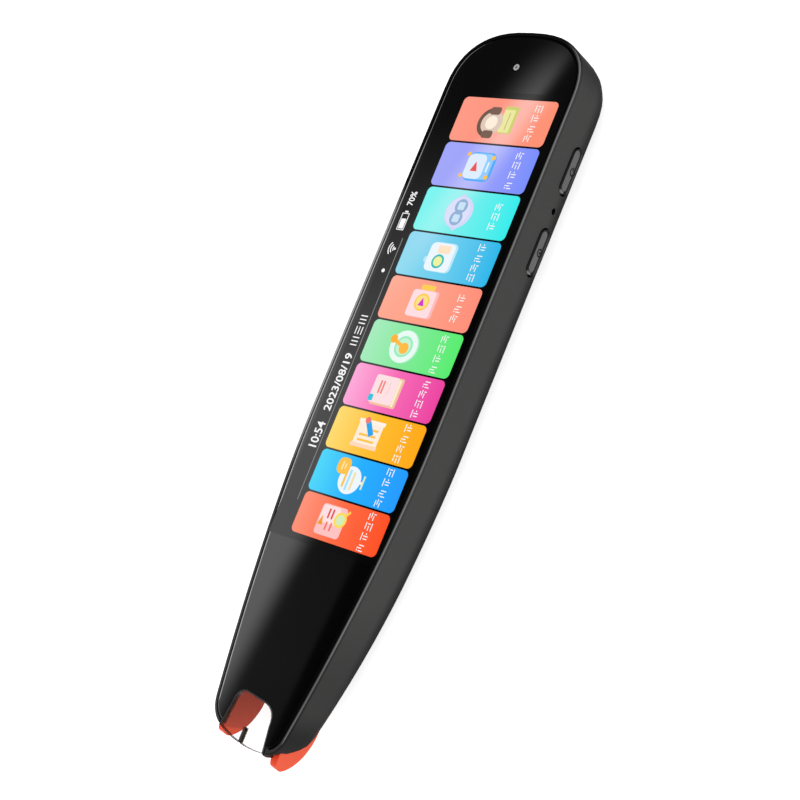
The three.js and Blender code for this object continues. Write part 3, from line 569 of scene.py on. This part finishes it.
# A closed plate: its outline at a low and a high level, and a fan to the middle of each.
def plate(outline, low, high):
    count = len(outline)
    middle = outline.mean(axis=0)
    levels = np.repeat([low, high, low, high], [count, count, 1, 1])
    points = np.column_stack([np.vstack([outline, outline, middle, middle]), levels])
    here = np.arange(count)
    after = (here + 1) % count
    lowMiddle = np.full(count, 2 * count)
    front = np.column_stack([here, after, after + count])
    back = np.column_stack([here, after + count, here + count])
    under = np.column_stack([after, here, lowMiddle])
    over = np.column_stack([here + count, after + count, lowMiddle + 1])
    return points, np.vstack([front, back, under, over])


# A closed band of one width along a path: two edges at half the width to its sides, at a low and
# a high level.
def band(path, width, low, high, joined=False):
    path = np.asarray(path, float)
    count = len(path)
    if joined:
        heading = np.roll(path, -1, axis=0) - np.roll(path, 1, axis=0)
    else:
        heading = np.gradient(path, axis=0)
    heading = heading / np.linalg.norm(heading, axis=1)[:, None]
    side = np.column_stack([-heading[:, 1], heading[:, 0]]) * width / 2
    edges = np.stack([path - side, path + side, path + side, path - side], axis=1).reshape(-1, 2)
    points = np.column_stack([edges, np.tile([low, low, high, high], count)])
    here = np.arange(count if joined else count - 1)
    after = (here + 1) % count
    faces = []
    for corner in range(4):
        following = (corner + 1) % 4
        a, b = here * 4 + corner, here * 4 + following
        c, d = after * 4 + following, after * 4 + corner
        faces += [np.column_stack([a, c, b]), np.column_stack([a, d, c])]
    if not joined:
        last = (count - 1) * 4
        faces += [np.array([[0, 1, 2], [0, 2, 3], [last, last + 2, last + 1], [last, last + 3, last + 2]])]
    return points, np.vstack(faces)


def arc(middle, radius, start, end, count=20):
    angle = np.radians(np.linspace(start, end, count))
    return np.array(middle) + radius * np.column_stack([np.cos(angle), np.sin(angle)])


# Each point's own colour is in the mesh's attribute paint.
def givePaint(mesh, colours):
    coat = mesh.attributes.new("paint", "FLOAT_COLOR", "POINT")
    coat.data.foreach_set("color", np.asarray(colours, np.float32).ravel())


# Many painted plates and bands in one mesh.
def drawing(name, shapes):
    points, faces, paint, total = [], [], [], 0
    for (shapePoints, shapeFaces), colour in shapes:
        points.append(shapePoints * mm)
        faces.append(shapeFaces + total)
        paint.append(np.tile(rgba(colour), (len(shapePoints), 1)))
        total += len(shapePoints)
    mesh = bpy.data.meshes.new(name)
    mesh.from_pydata(np.vstack(points).tolist(), [], np.vstack(faces).tolist())
    givePaint(mesh, np.vstack(paint))
    mesh.update()
    return linked(name, mesh)


def onPen(piece, material, body="pen_body"):
    piece.data.materials.append(material)
    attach(piece, body)


# The screen picture lies on the lens in thin layers. Its cross lines lean by a share that grows
# from the head to the tip, about one line along the pen.
screenLook = {
    "left": -14.4, "right": 14.3, "head": 63.3, "tip": -34.8, "corner": 0.4, "colour": 0.001,
    "gloss": 0.38, "leanHead": 0.026, "leanTip": 0.095, "leanLine": 2.2, "layer": 0.006,
}
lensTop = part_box("front_lens")[1].z / mm
layer = screenLook["layer"]


def leaning(points):
    moved = np.array(points, float)
    share = (screenLook["head"] - moved[:, 1]) / (screenLook["head"] - screenLook["tip"])
    lean = screenLook["leanHead"] + (screenLook["leanTip"] - screenLook["leanHead"]) * share
    moved[:, 1] += lean * (moved[:, 0] - screenLook["leanLine"])
    return moved


# Screen directions: reading runs along +Y, and the top of the picture is towards -X.
def fromScreen(points, across, along):
    turned = points.copy()
    turned[:, 0] = across - points[:, 1]
    turned[:, 1] = along + points[:, 0]
    return leaning(turned)


# The picture glows with its own colour: the attribute paint, or a run of three colours across a
# tile from its left edge to its right one, under a painted reflection: a soft white band that runs
# slanted over the tiles at the head and fades towards the tip.
glowLook = {
    "hazeScale": 45, "hazeDepth": 0.000001, "roughness": (0.04, 0.06),
    "firstRun": (-9.5, 2), "secondRun": (2, 13.8), "sheenLine": (6, 60, 0.38), "sheenLeft": (-7, 0),
    "sheenRight": (7, 0), "sheenAlong": (8, 56), "sheenShare": 0.27,
}


def lit(name, gloss, gradient=None):
    graph = material(name, glowLook)
    haze = graph.noise(graph.place(), glowLook["hazeScale"])
    if gradient:
        x, y, z = graph.millimetres()
        light, middle, deep = gradient
        near = graph.blend(x.ramp("firstRun"), light, middle)
        run = graph.blend(x.ramp("secondRun"), near, deep)
        # Painted reflection: a soft white band slanted over the tiles.
        away = fromLine(x, y, glowLook["sheenLine"])
        paintedSheen = away.rising("sheenLeft") * away.rising("sheenRight") * y.rising("sheenAlong")
        colour = graph.blend(paintedSheen * glowLook["sheenShare"], run, 1)
    else:
        colour = graph.add("Attribute", {"attribute_name": "paint"})
    return graph.principled({
        "Base Color": rgba(screenLook["colour"]),
        "Roughness": haze.between("roughness"),
        "Specular IOR Level": gloss,
        "Emission Color": colour,
        "Emission Strength": 1,
        "Normal": graph.bump(haze, glowLook["hazeDepth"]),
    })


paintFinish = lit("screenPaint", 0)
lowCorner = np.array([screenLook["left"], screenLook["tip"]])
highCorner = np.array([screenLook["right"], screenLook["head"]])
groundHalf = (highCorner - lowCorner) / 2
groundOutline = leaning(roundedBox(*groundHalf, screenLook["corner"]) + (lowCorner + highCorner) / 2)
ground = drawing("screen_ground", [(plate(groundOutline, lensTop, lensTop + layer), screenLook["colour"])])
onPen(ground, lit("screenGround", screenLook["gloss"]))

# Ten tiles. Counted from the head, tile k starts at head - pitch * k + squeeze * k * k. A tile's
# colours run from its left edge to its right one.
tileLook = {
    "left": -9.9, "leftDrift": 0.115, "right": 13.95, "head": 61.9, "pitch": 10.22, "squeeze": 0.066,
    "gap": 0.4, "radius": 1.1, "layers": 3,
    "colours": [
        ((1, 0.33, 0.24), (1, 0.3, 0.215), (1, 0.29, 0.18)),
        ((0.37, 0.39, 0.95), (0.34, 0.36, 0.97), (0.2, 0.28, 0.98)),
        ((0.21, 0.92, 0.88), (0.17, 0.87, 0.85), (0.04, 0.85, 0.84)),
        ((0.25, 0.7, 0.88), (0.15, 0.62, 0.87), (0.03, 0.48, 0.83)),
        ((1, 0.4, 0.29), (1, 0.36, 0.25), (1, 0.28, 0.2)),
        ((0.4, 0.85, 0.53), (0.22, 0.83, 0.32), (0.1, 0.85, 0.16)),
        ((1, 0.42, 0.72), (0.94, 0.15, 0.48), (0.84, 0.06, 0.36)),
        ((1, 0.73, 0.18), (1, 0.52, 0.03), (1, 0.4, 0.01)),
        ((0.09, 0.7, 0.96), (0.02, 0.44, 1), (0.02, 0.33, 1)),
        ((1, 0.31, 0.21), (1, 0.15, 0.06), (1, 0.085, 0.02)),
    ],
}
tileTop = lensTop + tileLook["layers"] * layer


def tileStart(index):
    return tileLook["head"] - tileLook["pitch"] * index + tileLook["squeeze"] * index * index


tileAlong = []
for index, gradient in enumerate(tileLook["colours"]):
    start, end = tileStart(index), tileStart(index + 1) + tileLook["gap"]
    left = tileLook["left"] + tileLook["leftDrift"] * index
    half = ((tileLook["right"] - left) / 2, (start - end) / 2)
    middle = ((tileLook["right"] + left) / 2, (start + end) / 2)
    tileAlong.append(middle[1])
    outline = leaning(roundedBox(*half, tileLook["radius"]) + np.array(middle))
    tile = drawing("screen_tile_%d" % (index + 1), [(plate(outline, lensTop, tileTop), 0)])
    onPen(tile, lit("tileFinish%d" % (index + 1), 0, gradient))
print("screen ground and tiles made")


# The shapes of the screen's drawings in screen directions, in mm. Each waits for its levels.
def box(across, along, halfAcross, halfAlong, radius, colour, count=48):
    outline = roundedBox(halfAcross, halfAlong, radius, count) + np.array([across, along])
    return lambda low, high: (plate(outline, low, high), colour)


def disc(across, along, radius, colour):
    return box(across, along, radius, radius, radius, colour, 36)


def face(corners, colour):
    return lambda low, high: (plate(np.array(corners, float), low, high), colour)


def bow(across, along, radius, start, end, width, colour):
    return lambda low, high: (band(arc((across, along), radius, start, end), width, low, high), colour)


def line(startAcross, startAlong, endAcross, endAlong, width, colour):
    path = np.linspace((startAcross, startAlong), (endAcross, endAlong), 3)
    return lambda low, high: (band(path, width, low, high), colour)


# Icons from their middle, from the lowest layer up.
white, cream = (0.86, 0.93, 1), (1, 0.86, 0.72)
amber, coral, navy = (1, 0.56, 0.07), (0.9, 0.2, 0.16), (0.3, 0.45, 0.7)
headset = [
    box(0.3, -2.6, 2.6, 1.5, 0.2, (0.62, 0.66, 0.18)), box(0.1, -2.3, 2.2, 1.2, 0.2, (0.86, 0.82, 0.36)),
    line(-1.6, -2.5, 1.7, -2.5, 0.2, (0.5, 0.5, 0.2)), disc(-0.4, 0.9, 2.4, (0.75, 0.6, 0.5)),
    bow(-0.4, 1.1, 2.5, 0, 180, 0.8, (0.17, 0.1, 0.075)),
    *[box(side, 0.9, 0.75, 1.2, 0.5, (0.2, 0.12, 0.09)) for side in (-2.7, 1.9)], disc(-0.4, 0.9, 1.3, cream),
]
player = [
    disc(2.3, 2.9, 0.4, amber), disc(-1.9, 3.1, 0.4, amber), box(0, -0.5, 2.8, 3.1, 1.4, (0.1, 0.42, 0.95)),
    box(0.1, -0.3, 2.5, 2.7, 1.2, (0.3, 0.62, 1)), box(0, 0.6, 2.4, 2.1, 1.1, (0.74, 0.86, 1)),
    face([(-0.9, -0.2), (1, 0.6), (-0.9, 1.4)], (0.85, 0.1, 0.09)), line(-0.9, -2.2, 1, -2.2, 0.35, white),
    disc(1.9, -2.9, 0.45, amber), disc(-1.9, -2.7, 0.45, amber),
]
voice = [
    face([(1.6, -2.6), (3.6, 0.2), (1.6, 2.7)], (0.66, 0.68, 0.93)),
    face([(-1.6, 2.7), (-3.6, -0.2), (-1.6, -2.6)], (0.66, 0.68, 0.93)), disc(0, 0, 3.05, (0.68, 0.7, 0.95)),
    disc(0.1, 0.3, 2.6, (0.74, 0.76, 0.97)), disc(1.15, -0.1, 1.4, navy), disc(-1.15, 0.1, 1.4, navy),
    box(1.2, -0.1, 0.75, 0.75, 0.3, (0.6, 0.78, 0.93)), box(-1.2, 0.1, 0.75, 0.75, 0.3, (0.6, 0.78, 0.93)),
]
recorder = [
    disc(-0.7, 3, 0.6, (0.5, 0.8, 0.95)), box(0, -0.3, 2.8, 2.9, 1, (0.5, 0.82, 0.95)),
    box(0, 0.1, 2.7, 2.8, 1, white), box(1.5, -0.3, 0.75, 1.4, 0.2, (1, 0.78, 0.56)),
    disc(-0.8, 0.2, 1.35, (0.05, 0.52, 0.5)), disc(-0.8, 0.2, 0.95, (0.88, 0.9, 0.35)),
]
film = [
    box(2.6, -0.3, 0.7, 1.6, 0.3, (1, 0.62, 0.1)), box(-0.3, -0.3, 2.6, 2.9, 0.6, (1, 0.5, 0.5)),
    box(-0.3, 0.1, 2.5, 2.7, 0.6, (1, 0.74, 0.78)), disc(0, 0, 1.65, (1, 0.62, 0.08)),
    disc(0, 0, 1.3, (1, 0.76, 0.25)), face([(-0.7, -0.7), (0.9, 0), (-0.7, 0.7)], (0.66, 0.05, 0.6)),
]
record = [
    disc(0, -0.3, 3.1, (0.45, 0.85, 0.6)), disc(0, 0, 3.05, (0.82, 0.97, 0.9)),
    disc(0, 0, 2, (0.33, 0.84, 0.52)), disc(0, 0, 1.6, (0.55, 0.93, 0.66)),
    disc(-0.3, -0.2, 1.05, (1, 0.5, 0.06)), line(0, 0.3, 1, 2.6, 0.7, (1, 0.5, 0.06)),
    disc(1.1, 2.7, 0.8, (1, 0.46, 0.05)),
]
book = [
    box(-0.1, -0.4, 2.8, 3, 0.4, (0.9, 0.55, 0.35)), line(-2.6, -2.6, 2.4, -2.6, 0.5, (1, 0.86, 0.66)),
    box(0.1, 0.4, 2.6, 2.7, 0.5, (1, 0.76, 0.78)), line(-0.7, 1.5, 1.7, 1.5, 0.35, coral),
    line(-0.7, 0.8, 1.7, 0.8, 0.35, coral), line(-0.7, -0.6, 1.7, -0.6, 0.2, (1, 0.62, 0.55)),
    box(-1.7, 2.7, 0.6, 0.55, 0.2, (0.05, 0.55, 0.72)),
]
scroll = [
    box(0, -0.1, 2.3, 2.8, 0.3, cream), line(-2.2, -3.1, -2.2, 3.1, 0.7, (1, 0.7, 0.5)),
    line(2.3, -3.2, 2.3, 2.9, 0.7, (1, 0.9, 0.8)), line(-1.2, -2, -1.2, 1.9, 0.4, amber),
    line(-0.2, -2, -0.2, 1.9, 0.4, amber), line(0.9, -2.2, 0.9, -0.8, 0.4, amber),
    line(2.4, 0.9, -0.1, -0.9, 1.1, (0.03, 0.38, 0.85)), disc(2.5, 1, 0.6, coral),
]
speech = [
    line(-1.5, -3.3, 1, -3.3, 0.4, (0.7, 0.85, 0.6)), line(-0.4, -3.2, -0.4, -2.4, 0.5, cream),
    disc(-0.4, -0.2, 2.55, white), line(-1.9, 1, 1.1, 1, 0.5, amber),
    line(-2.3, 0.1, 1.5, 0.1, 0.45, (0.35, 0.75, 1)), line(-2.1, -0.9, 1.2, -0.9, 0.5, (0.9, 0.75, 0.4)),
    box(1.8, 2.2, 1.5, 1.5, 1.1, (1, 0.55, 0.08)), line(1, 2.5, 2.6, 2.5, 0.3, (1, 0.82, 0.4)),
    line(1.3, 1.8, 2.3, 1.8, 0.3, (1, 0.82, 0.4)),
]
search = [
    box(-0.1, 0.2, 2.8, 3, 0.7, (1, 0.55, 0.55)), box(0.9, 0.9, 1.6, 2.1, 0.5, (1, 0.76, 0.76)),
    *[line(0.2, row, 2, row, 0.4, (0.75, 0.08, 0.1)) for row in (1.2, 0.3)],
    *[line(-1.9, row, -0.4, row, 0.4, coral) for row in (0.9, -0.2)],
    face([(-1.2, 1.8), (0.6, 2.4), (-1.2, 3)], (0.9, 0.35, 0.03)), disc(0.5, -1.8, 1.4, (1, 0.72, 0.1)),
    disc(0.5, -1.8, 0.95, (0.66, 0.85, 0.5)), line(1.5, -2.7, 2.4, -3.4, 0.5, (1, 0.62, 0.08)),
]
icons = [headset, player, voice, recorder, film, record, book, scroll, speech, search]


def turnShape(shape, across, along):
    (points, faces), colour = shape
    return (fromScreen(points, across, along), faces), colour


iconLook = {"across": 0.5, "grow": 1.12}
iconParts = []
for index, shapes in enumerate(icons):
    for level, shape in enumerate(shapes):
        low = tileTop + level * layer
        shape = shape(low, low + layer)
        shape[0][0][:, :2] *= iconLook["grow"]
        iconParts.append(turnShape(shape, iconLook["across"], tileAlong[index]))
onPen(drawing("screen_icons", iconParts), paintFinish)
print("icons made")

# Rows of plain bars on each tile, in four kinds by turns: ends of each bar from the middle,
# where 1 is half of its width. Bars that cross differ in height by a part of a layer.
barLook = {
    "across": 9.7, "pitch": 2.1, "half": 0.8, "width": 0.2, "counts": [4, 4, 3, 4, 3, 4, 4, 4, 4, 4],
    "lift": layer / 5, "colour": 0.95,
    "kinds": [
        [(-1, 0.9, 0.6, 0.9), (-0.4, 0.25, 1, 0.25), (-1, -0.4, 0.2, -0.4), (0.6, -1, 0.6, -0.3)],
        [(-0.9, -1, -0.9, 0.3), (-0.2, -0.4, -0.2, 1), (0.5, -1, 0.5, 0.6), (-1, 0.8, -0.6, 0.8)],
        [(-1, 0.9, 1, 0.9), (-0.5, 0.3, -0.5, -0.9), (0.2, 0.4, 0.2, -1), (0.6, -0.3, 1, -0.3)],
        [(-1, -0.9, 1, -0.9), (-1, 0, 0.2, 0), (-0.7, 0.9, 1, 0.9), (0.7, 0.4, 0.7, -0.4)],
    ],
}
barParts = []
for index, count in enumerate(barLook["counts"]):
    for sign in range(count):
        middle = np.array([(sign - (count - 1) / 2) * barLook["pitch"], 0] * 2)
        kind = barLook["kinds"][(index + sign) % len(barLook["kinds"])]
        for order, ends in enumerate(kind):
            ends = middle + np.array(ends) * barLook["half"]
            low = tileTop + order * barLook["lift"]
            shape = line(*ends, barLook["width"], barLook["colour"])(low, low + layer)
            barParts.append(turnShape(shape, barLook["across"], tileAlong[index]))
onPen(drawing("tile_bars", barParts), paintFinish)
print("tile bars made")

# The strip beside the tiles. Each writing has its words, its size, its start along the strip and
# its length, and stands a share of its size above the strip's middle.
stripLook = {
    "across": -12.4, "drift": -0.0125, "colour": 1, "clock": ("10:54", 3.1, -16, 5.4),
    "date": ("2023/08/19", 2.7, -8.2, 12.5), "charge": ("70%", 2.2, 37.1, 3.1), "bolder": 0.04, "rise": 0.35,
    "bars": 7, "barsPitch": 2.35, "dot": 22.6, "fan": 27.5, "battery": 33.5,
    "line": 1.75, "lineRun": (-27, 30), "lineWidth": 0.16, "lineColour": 0.3,
}


def stripAcross(along):
    return stripLook["across"] + stripLook["drift"] * along


def writing(name, words, size, along, length):
    curve = bpy.data.curves.new(name, "FONT")
    curve.body = words
    curve.size = size
    curve.extrude = layer / 2
    curve.offset = stripLook["bolder"]
    curve.resolution_u = 3
    holder = linked(name, curve)
    bpy.context.view_layer.update()
    mesh = bpy.data.meshes.new_from_object(holder.evaluated_get(bpy.context.evaluated_depsgraph_get()))
    bpy.data.objects.remove(holder)
    flat = np.zeros(len(mesh.vertices) * 3)
    mesh.vertices.foreach_get("co", flat)
    flat = flat.reshape(-1, 3)
    start, end = flat[:, 0].min(), flat[:, 0].max()
    flat[:, 0] = (flat[:, 0] - start) * length / (end - start)
    points = fromScreen(flat, stripAcross(along + length / 2) + size * stripLook["rise"], along)
    points[:, 2] += lensTop + 1.5 * layer
    mesh.vertices.foreach_set("co", (points * mm).ravel())
    mesh.materials.clear()
    givePaint(mesh, np.tile(rgba(stripLook["colour"]), len(mesh.vertices)))
    onPen(linked(name, mesh), paintFinish)


for key in ("clock", "date", "charge"):
    writing("strip_" + key, *stripLook[key])

# Marks by their place along the strip: three groups of three bars, a dot, a signal fan over its
# own dot, and a battery's outline, filling and knob.
pale, fan, battery = stripLook["colour"], stripLook["fan"], stripLook["battery"]
marks = []
for group in range(3):
    for row in (-0.8, 0, 0.8):
        ends = (-0.85, row, 0.85, row) if group % 2 else (row, -0.9, row, 0.9)
        marks += [(stripLook["bars"] + stripLook["barsPitch"] * group, line(*ends, 0.24, pale))]
marks += [(stripLook["dot"], disc(0, 0, 0.42, pale))]
marks += [(fan, bow(0, -0.9, radius, 45, 135, 0.26, pale)) for radius in (0.6, 1.2, 1.8)]
marks += [(fan, disc(0, -0.8, 0.25, pale))]
marks += [(battery, line(-1.8, side, 1.8, side, 0.18, pale)) for side in (-0.9, 0.9)]
marks += [(battery, line(end, -0.98, end, 0.98, 0.18, pale)) for end in (-1.8, 1.8)]
marks += [(battery, box(-0.45, 0, 1.1, 0.65, 0.1, pale)), (battery, box(2.2, 0, 0.18, 0.45, 0.1, pale))]
low, high = lensTop + layer, lensTop + 2 * layer
stripParts = [turnShape(shape(low, high), stripAcross(along), along) for along, shape in marks]
lineEnds = [(stripAcross(along) + stripLook["line"], along) for along in stripLook["lineRun"]]
linePoints, lineFaces = band(np.linspace(*lineEnds, 12), stripLook["lineWidth"], low, high)
stripParts.append(((leaning(linePoints), lineFaces), stripLook["lineColour"]))
onPen(drawing("strip_marks", stripParts), paintFinish)
print("strip made")

# A black cover closes the slot between the window's right edge and the end of the right prong.
# Corners: across from the middle and along.
coverLook = {
    "corners": [(6.46, -74.75), (7.5, -74.75), (7.5, -73.9), (7.15, -72.6), (6.2, -72.6)],
    "low": 12.75, "high": 14.6, "colour": 0.006,
}
coverShape = plate(np.array(coverLook["corners"]), coverLook["low"], coverLook["high"])
onPen(drawing("window_cover", [(coverShape, coverLook["colour"])]), finishes["black"])

# A thin black seal fills the slot between the window and the lens round three sides. Its path runs
# from the window's end up to the corner, round it as a parabola, and back as its mirror image.
sealLook = {
    "headHalf": 5.5, "endHalf": 6.5, "length": 9.2, "corner": 3.4, "away": 0.15, "endInside": 0.05,
    "endRise": 0.75, "width": 0.26, "low": 14.6, "high": 14.84, "colour": 0.004,
}
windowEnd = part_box("tip_window")[0].y / mm
away, corner = sealLook["away"], sealLook["corner"]
topAlong = windowEnd + sealLook["length"] + away
headHalf, endHalf = sealLook["headHalf"] + away, sealLook["endHalf"] + away
bend = np.linspace(0, 1, 12)[:, None]
cornerPath = ((1 - bend) ** 2 * [headHalf, topAlong - corner] + 2 * bend * (1 - bend) * [headHalf, topAlong]
              + bend ** 2 * [headHalf - corner, topAlong])
sealStart = [endHalf - sealLook["endInside"], windowEnd + sealLook["endRise"]]
rightPath = np.vstack([[sealStart], cornerPath])
sealPath = np.vstack([rightPath, rightPath[::-1] * [-1, 1]])
sealShape = band(sealPath, sealLook["width"], sealLook["low"], sealLook["high"])
onPen(drawing("window_seal", [(sealShape, sealLook["colour"])]), finishes["black"])

# A thin dark line follows the window's bulging end on both sides of the rib.
endLook = {
    "inset": 0.09, "width": 0.13, "bulge": 0.75, "reach": 6.2, "ends": (0.4, 6.35),
    "colour": 0.01,
}
endShapes = []
for side in (1, -1):
    acrossEnd = np.linspace(*endLook["ends"], 16)
    alongEnd = windowEnd + endLook["inset"] + endLook["bulge"] * (acrossEnd / endLook["reach"]) ** 2
    path = np.column_stack([acrossEnd * side, alongEnd])
    endShapes.append((band(path, endLook["width"], lensTop, lensTop + layer), endLook["colour"]))
onPen(drawing("window_end_line", endShapes), finishes["black"])
print("window cover, seal and end line made")


# The colour is the piece's paint, a little uneven, under a smooth gloss.
def painted(name, look):
    graph = material(name, look)
    drift = graph.noise(graph.place(), look["driftScale"])
    paint = graph.add("Attribute", {"attribute_name": "paint"})
    return graph.principled({
        "Base Color": graph.blend(drift * look["drift"], paint, "driftColour"),
        "Roughness": drift.between("roughness"),
        "Specular IOR Level": look["gloss"],
        "Normal": graph.bump(drift, look["depth"]),
    })


# The sensor: a grey glass disc over its eye, with a darker middle one layer above it.
paintLook = {"drift": 0.12, "driftColour": 0.05, "depth": 0.000004}
sensorLook = {
    "radius": 0.68, "thickness": 0.05, "colour": 0.5, "middleRadius": 0.28,
    "middleColour": 0.11, "driftScale": 900, "roughness": (0.25, 0.3), "gloss": 0.5, **paintLook,
}
eyeLow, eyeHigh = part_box("front_sensor")
eyeMiddle = np.array([0, (eyeLow.y + eyeHigh.y) / 2 / mm])
discLow = lensTop - sensorLook["thickness"]
sensorParts = []
for radius, low, high, colour in (
        (sensorLook["radius"], discLow, lensTop, sensorLook["colour"]),
        (sensorLook["middleRadius"], lensTop, lensTop + layer, sensorLook["middleColour"])):
    outline = roundedBox(radius, radius, radius, 36) + eyeMiddle
    sensorParts.append((plate(outline, low, high), colour))
onPen(drawing("sensor_disc", sensorParts), painted("sensorFinish", sensorLook))

# Key marks: an open ring with a bar on one key, a closed ring with a dot on the other.
markLook = {
    "radius": 0.72, "width": 0.28, "height": 0.012, "turn": 345, "bar": (0.15, 0.5, 0.95), "dot": 0.25,
    "colour": 0.008, "driftScale": 1200, "roughness": (0.5, 0.55), "gloss": 0.02, **paintLook,
}
markFinish = painted("keyMarkFinish", markLook)
for key, opening in (("power_key", 60), ("function_key", 0)):
    lowCorner, highCorner = (np.array(corner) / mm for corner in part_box(key))
    middle = (lowCorner + highCorner) / 2
    height, width = markLook["height"], markLook["width"]
    ring = arc((0, 0), markLook["radius"], opening / 2, markLook["turn"] - opening / 2, 24)
    shapes = [band(ring, width, 0, height, opening == 0)]
    if opening:
        shapes.append(band([(place, 0) for place in markLook["bar"]], width, 0, height))
    else:
        shapes.append(plate(roundedBox(markLook["dot"], markLook["dot"], markLook["dot"], 24), 0, height))
    placed = []
    for points, faces in shapes:
        out, along, up = highCorner[0] + points[:, 2], middle[1] + points[:, 0], middle[2] + points[:, 1]
        placed.append(((np.column_stack([out, along, up]), faces), markLook["colour"]))
    onPen(drawing(key + "_mark", placed), markFinish, key + "_body")
print("sensor disc and key marks made")


def flatSheet(name, corners):
    mesh = bpy.data.meshes.new(name)
    mesh.from_pydata([list(np.array(corner) * mm) for corner in corners], [], [[0, 1, 2, 3]])
    sheet = linked(name, mesh)
    return sheet


# The floor: a pale diffuse sheet, with a glow for the rays that see it.
floorLook = {"reach": 4000, "level": -0.05, "colour": 0.92, "glow": 0.7}
reach, level = floorLook["reach"], floorLook["level"]
around = ((-1, -1), (1, -1), (1, 1), (-1, 1))
floor = flatSheet("studioFloor", [(across * reach, along * reach, level) for across, along in around])
graph = material("floorFinish")
diffuse = graph.add("BsdfDiffuse", inputs={"Color": rgba(floorLook["colour"])})
glow = graph.add("Emission", inputs={"Color": rgba(1), "Strength": graph.seen() * floorLook["glow"]})
floor.data.materials.append(graph.close(graph.add("AddShader", inputs={0: diffuse, 1: glow})))

# The world: a soft white that is full only for the rays that see it.
worldLook = {"light": 0.5, "seen": 1}
world = bpy.data.worlds.new("studioWorld")
bpy.context.scene.world = world
graph = Graph(world, output="OutputWorld")
worldLight = worldLook["light"] + graph.seen() * (worldLook["seen"] - worldLook["light"])
graph.close(graph.add("Background", inputs={"Color": rgba(1), "Strength": worldLight}))

# Square lamps that point at the middle of the frame, in metres and watts.
lampLook = {
    "topBox": {"spot": (0.15, -0.1, 0.9), "size": 0.8, "power": 2.4},
    "sideBox": {"spot": (0.8, -0.3, 0.3), "size": 0.5, "power": 1.8},
}
for name, look in lampLook.items():
    lampData = bpy.data.lights.new(name, "AREA")
    lampData.shape = "SQUARE"
    lampData.size = look["size"]
    lampData.energy = look["power"]
    lamp = linked(name, lampData)
    lamp.location = look["spot"]
    lamp.rotation_euler = (-Vector(look["spot"])).to_track_quat("-Z", "Y").to_euler()
print("floor, world and lamps made")

# A level card above the pen, which the lens mirrors as an enlargement about the camera's mirror
# image. In lens millimetres: bright on the left below the head, dim in the middle, dark past a
# slanted line on the right, with a soft streak beside the head's sensor.
cardLook = {
    "height": 520, "halfAcross": 22, "halfAlong": 84,
    "leftLine": (-5, -38, 0.126), "leftEdge": (3.4, -3.3), "leftAlong": (62, -22), "bright": 2.1,
    "rightLine": (9.7, -35, 0.073), "rightEdge": (0.1, -0.1), "dimAlong": (10, -60), "dim": 0.15,
    "headDim": 0.045, "streakLine": (7.4, 62.7, 0.34), "streakLeft": (-13, 0.5), "streakRight": (4.5, -0.5),
    "streakHead": (77, 61), "headPower": 0.75, "streakTip": (20, 50), "streak": 1.7,
}
spot = np.array(cameraLook["spot"]) / mm
mirror = np.array([spot[0], spot[1], 2 * lensTop - spot[2]])
grow = (cardLook["height"] - mirror[2]) / (lensTop - mirror[2])


def onCard(across, along):
    return (*(mirror[:2] + grow * (np.array([across, along]) - mirror[:2])), cardLook["height"])


halfAcross, halfAlong = cardLook["halfAcross"], cardLook["halfAlong"]
turns = ((-1, -1), (-1, 1), (1, 1), (1, -1))
card = flatSheet("mirrorCard", [onCard(across * halfAcross, along * halfAlong) for across, along in turns])
graph = material("cardFinish", cardLook)
x, y, z = graph.parts(graph.place((1 / mm / grow, 1 / mm / grow, 1)))
lensX = x + (mirror[0] - mirror[0] / grow)
lensY = y + (mirror[1] - mirror[1] / grow)
leftEdge = fromLine(lensX, lensY, cardLook["leftLine"]).rising("leftEdge")
leftLight = leftEdge * lensY.rising("leftAlong") * (cardLook["bright"] - cardLook["dim"])
dimmer = lensY.rising("dimAlong") * (cardLook["dim"] - cardLook["headDim"])
rightEdge = fromLine(lensX, lensY, cardLook["rightLine"]).rising("rightEdge")
fromStreak = fromLine(lensX, lensY, cardLook["streakLine"])
streak = (fromStreak.rising("streakLeft") * fromStreak.rising("streakRight")).squared()
streak = streak * lensY.rising("streakHead") ** cardLook["headPower"]
streak = streak * lensY.rising("streakTip") * cardLook["streak"]
strength = rightEdge * (cardLook["headDim"] + dimmer) + leftLight + streak
cardInputs = {"Color": rgba(1), "Strength": strength}
card.data.materials.append(graph.close(graph.add("Emission", inputs=cardInputs)))
card.visible_camera = False
card.visible_diffuse = False
card.visible_shadow = False
card.visible_transmission = False
bpy.context.scene.view_settings.view_transform = "Standard"
print("mirror card made")
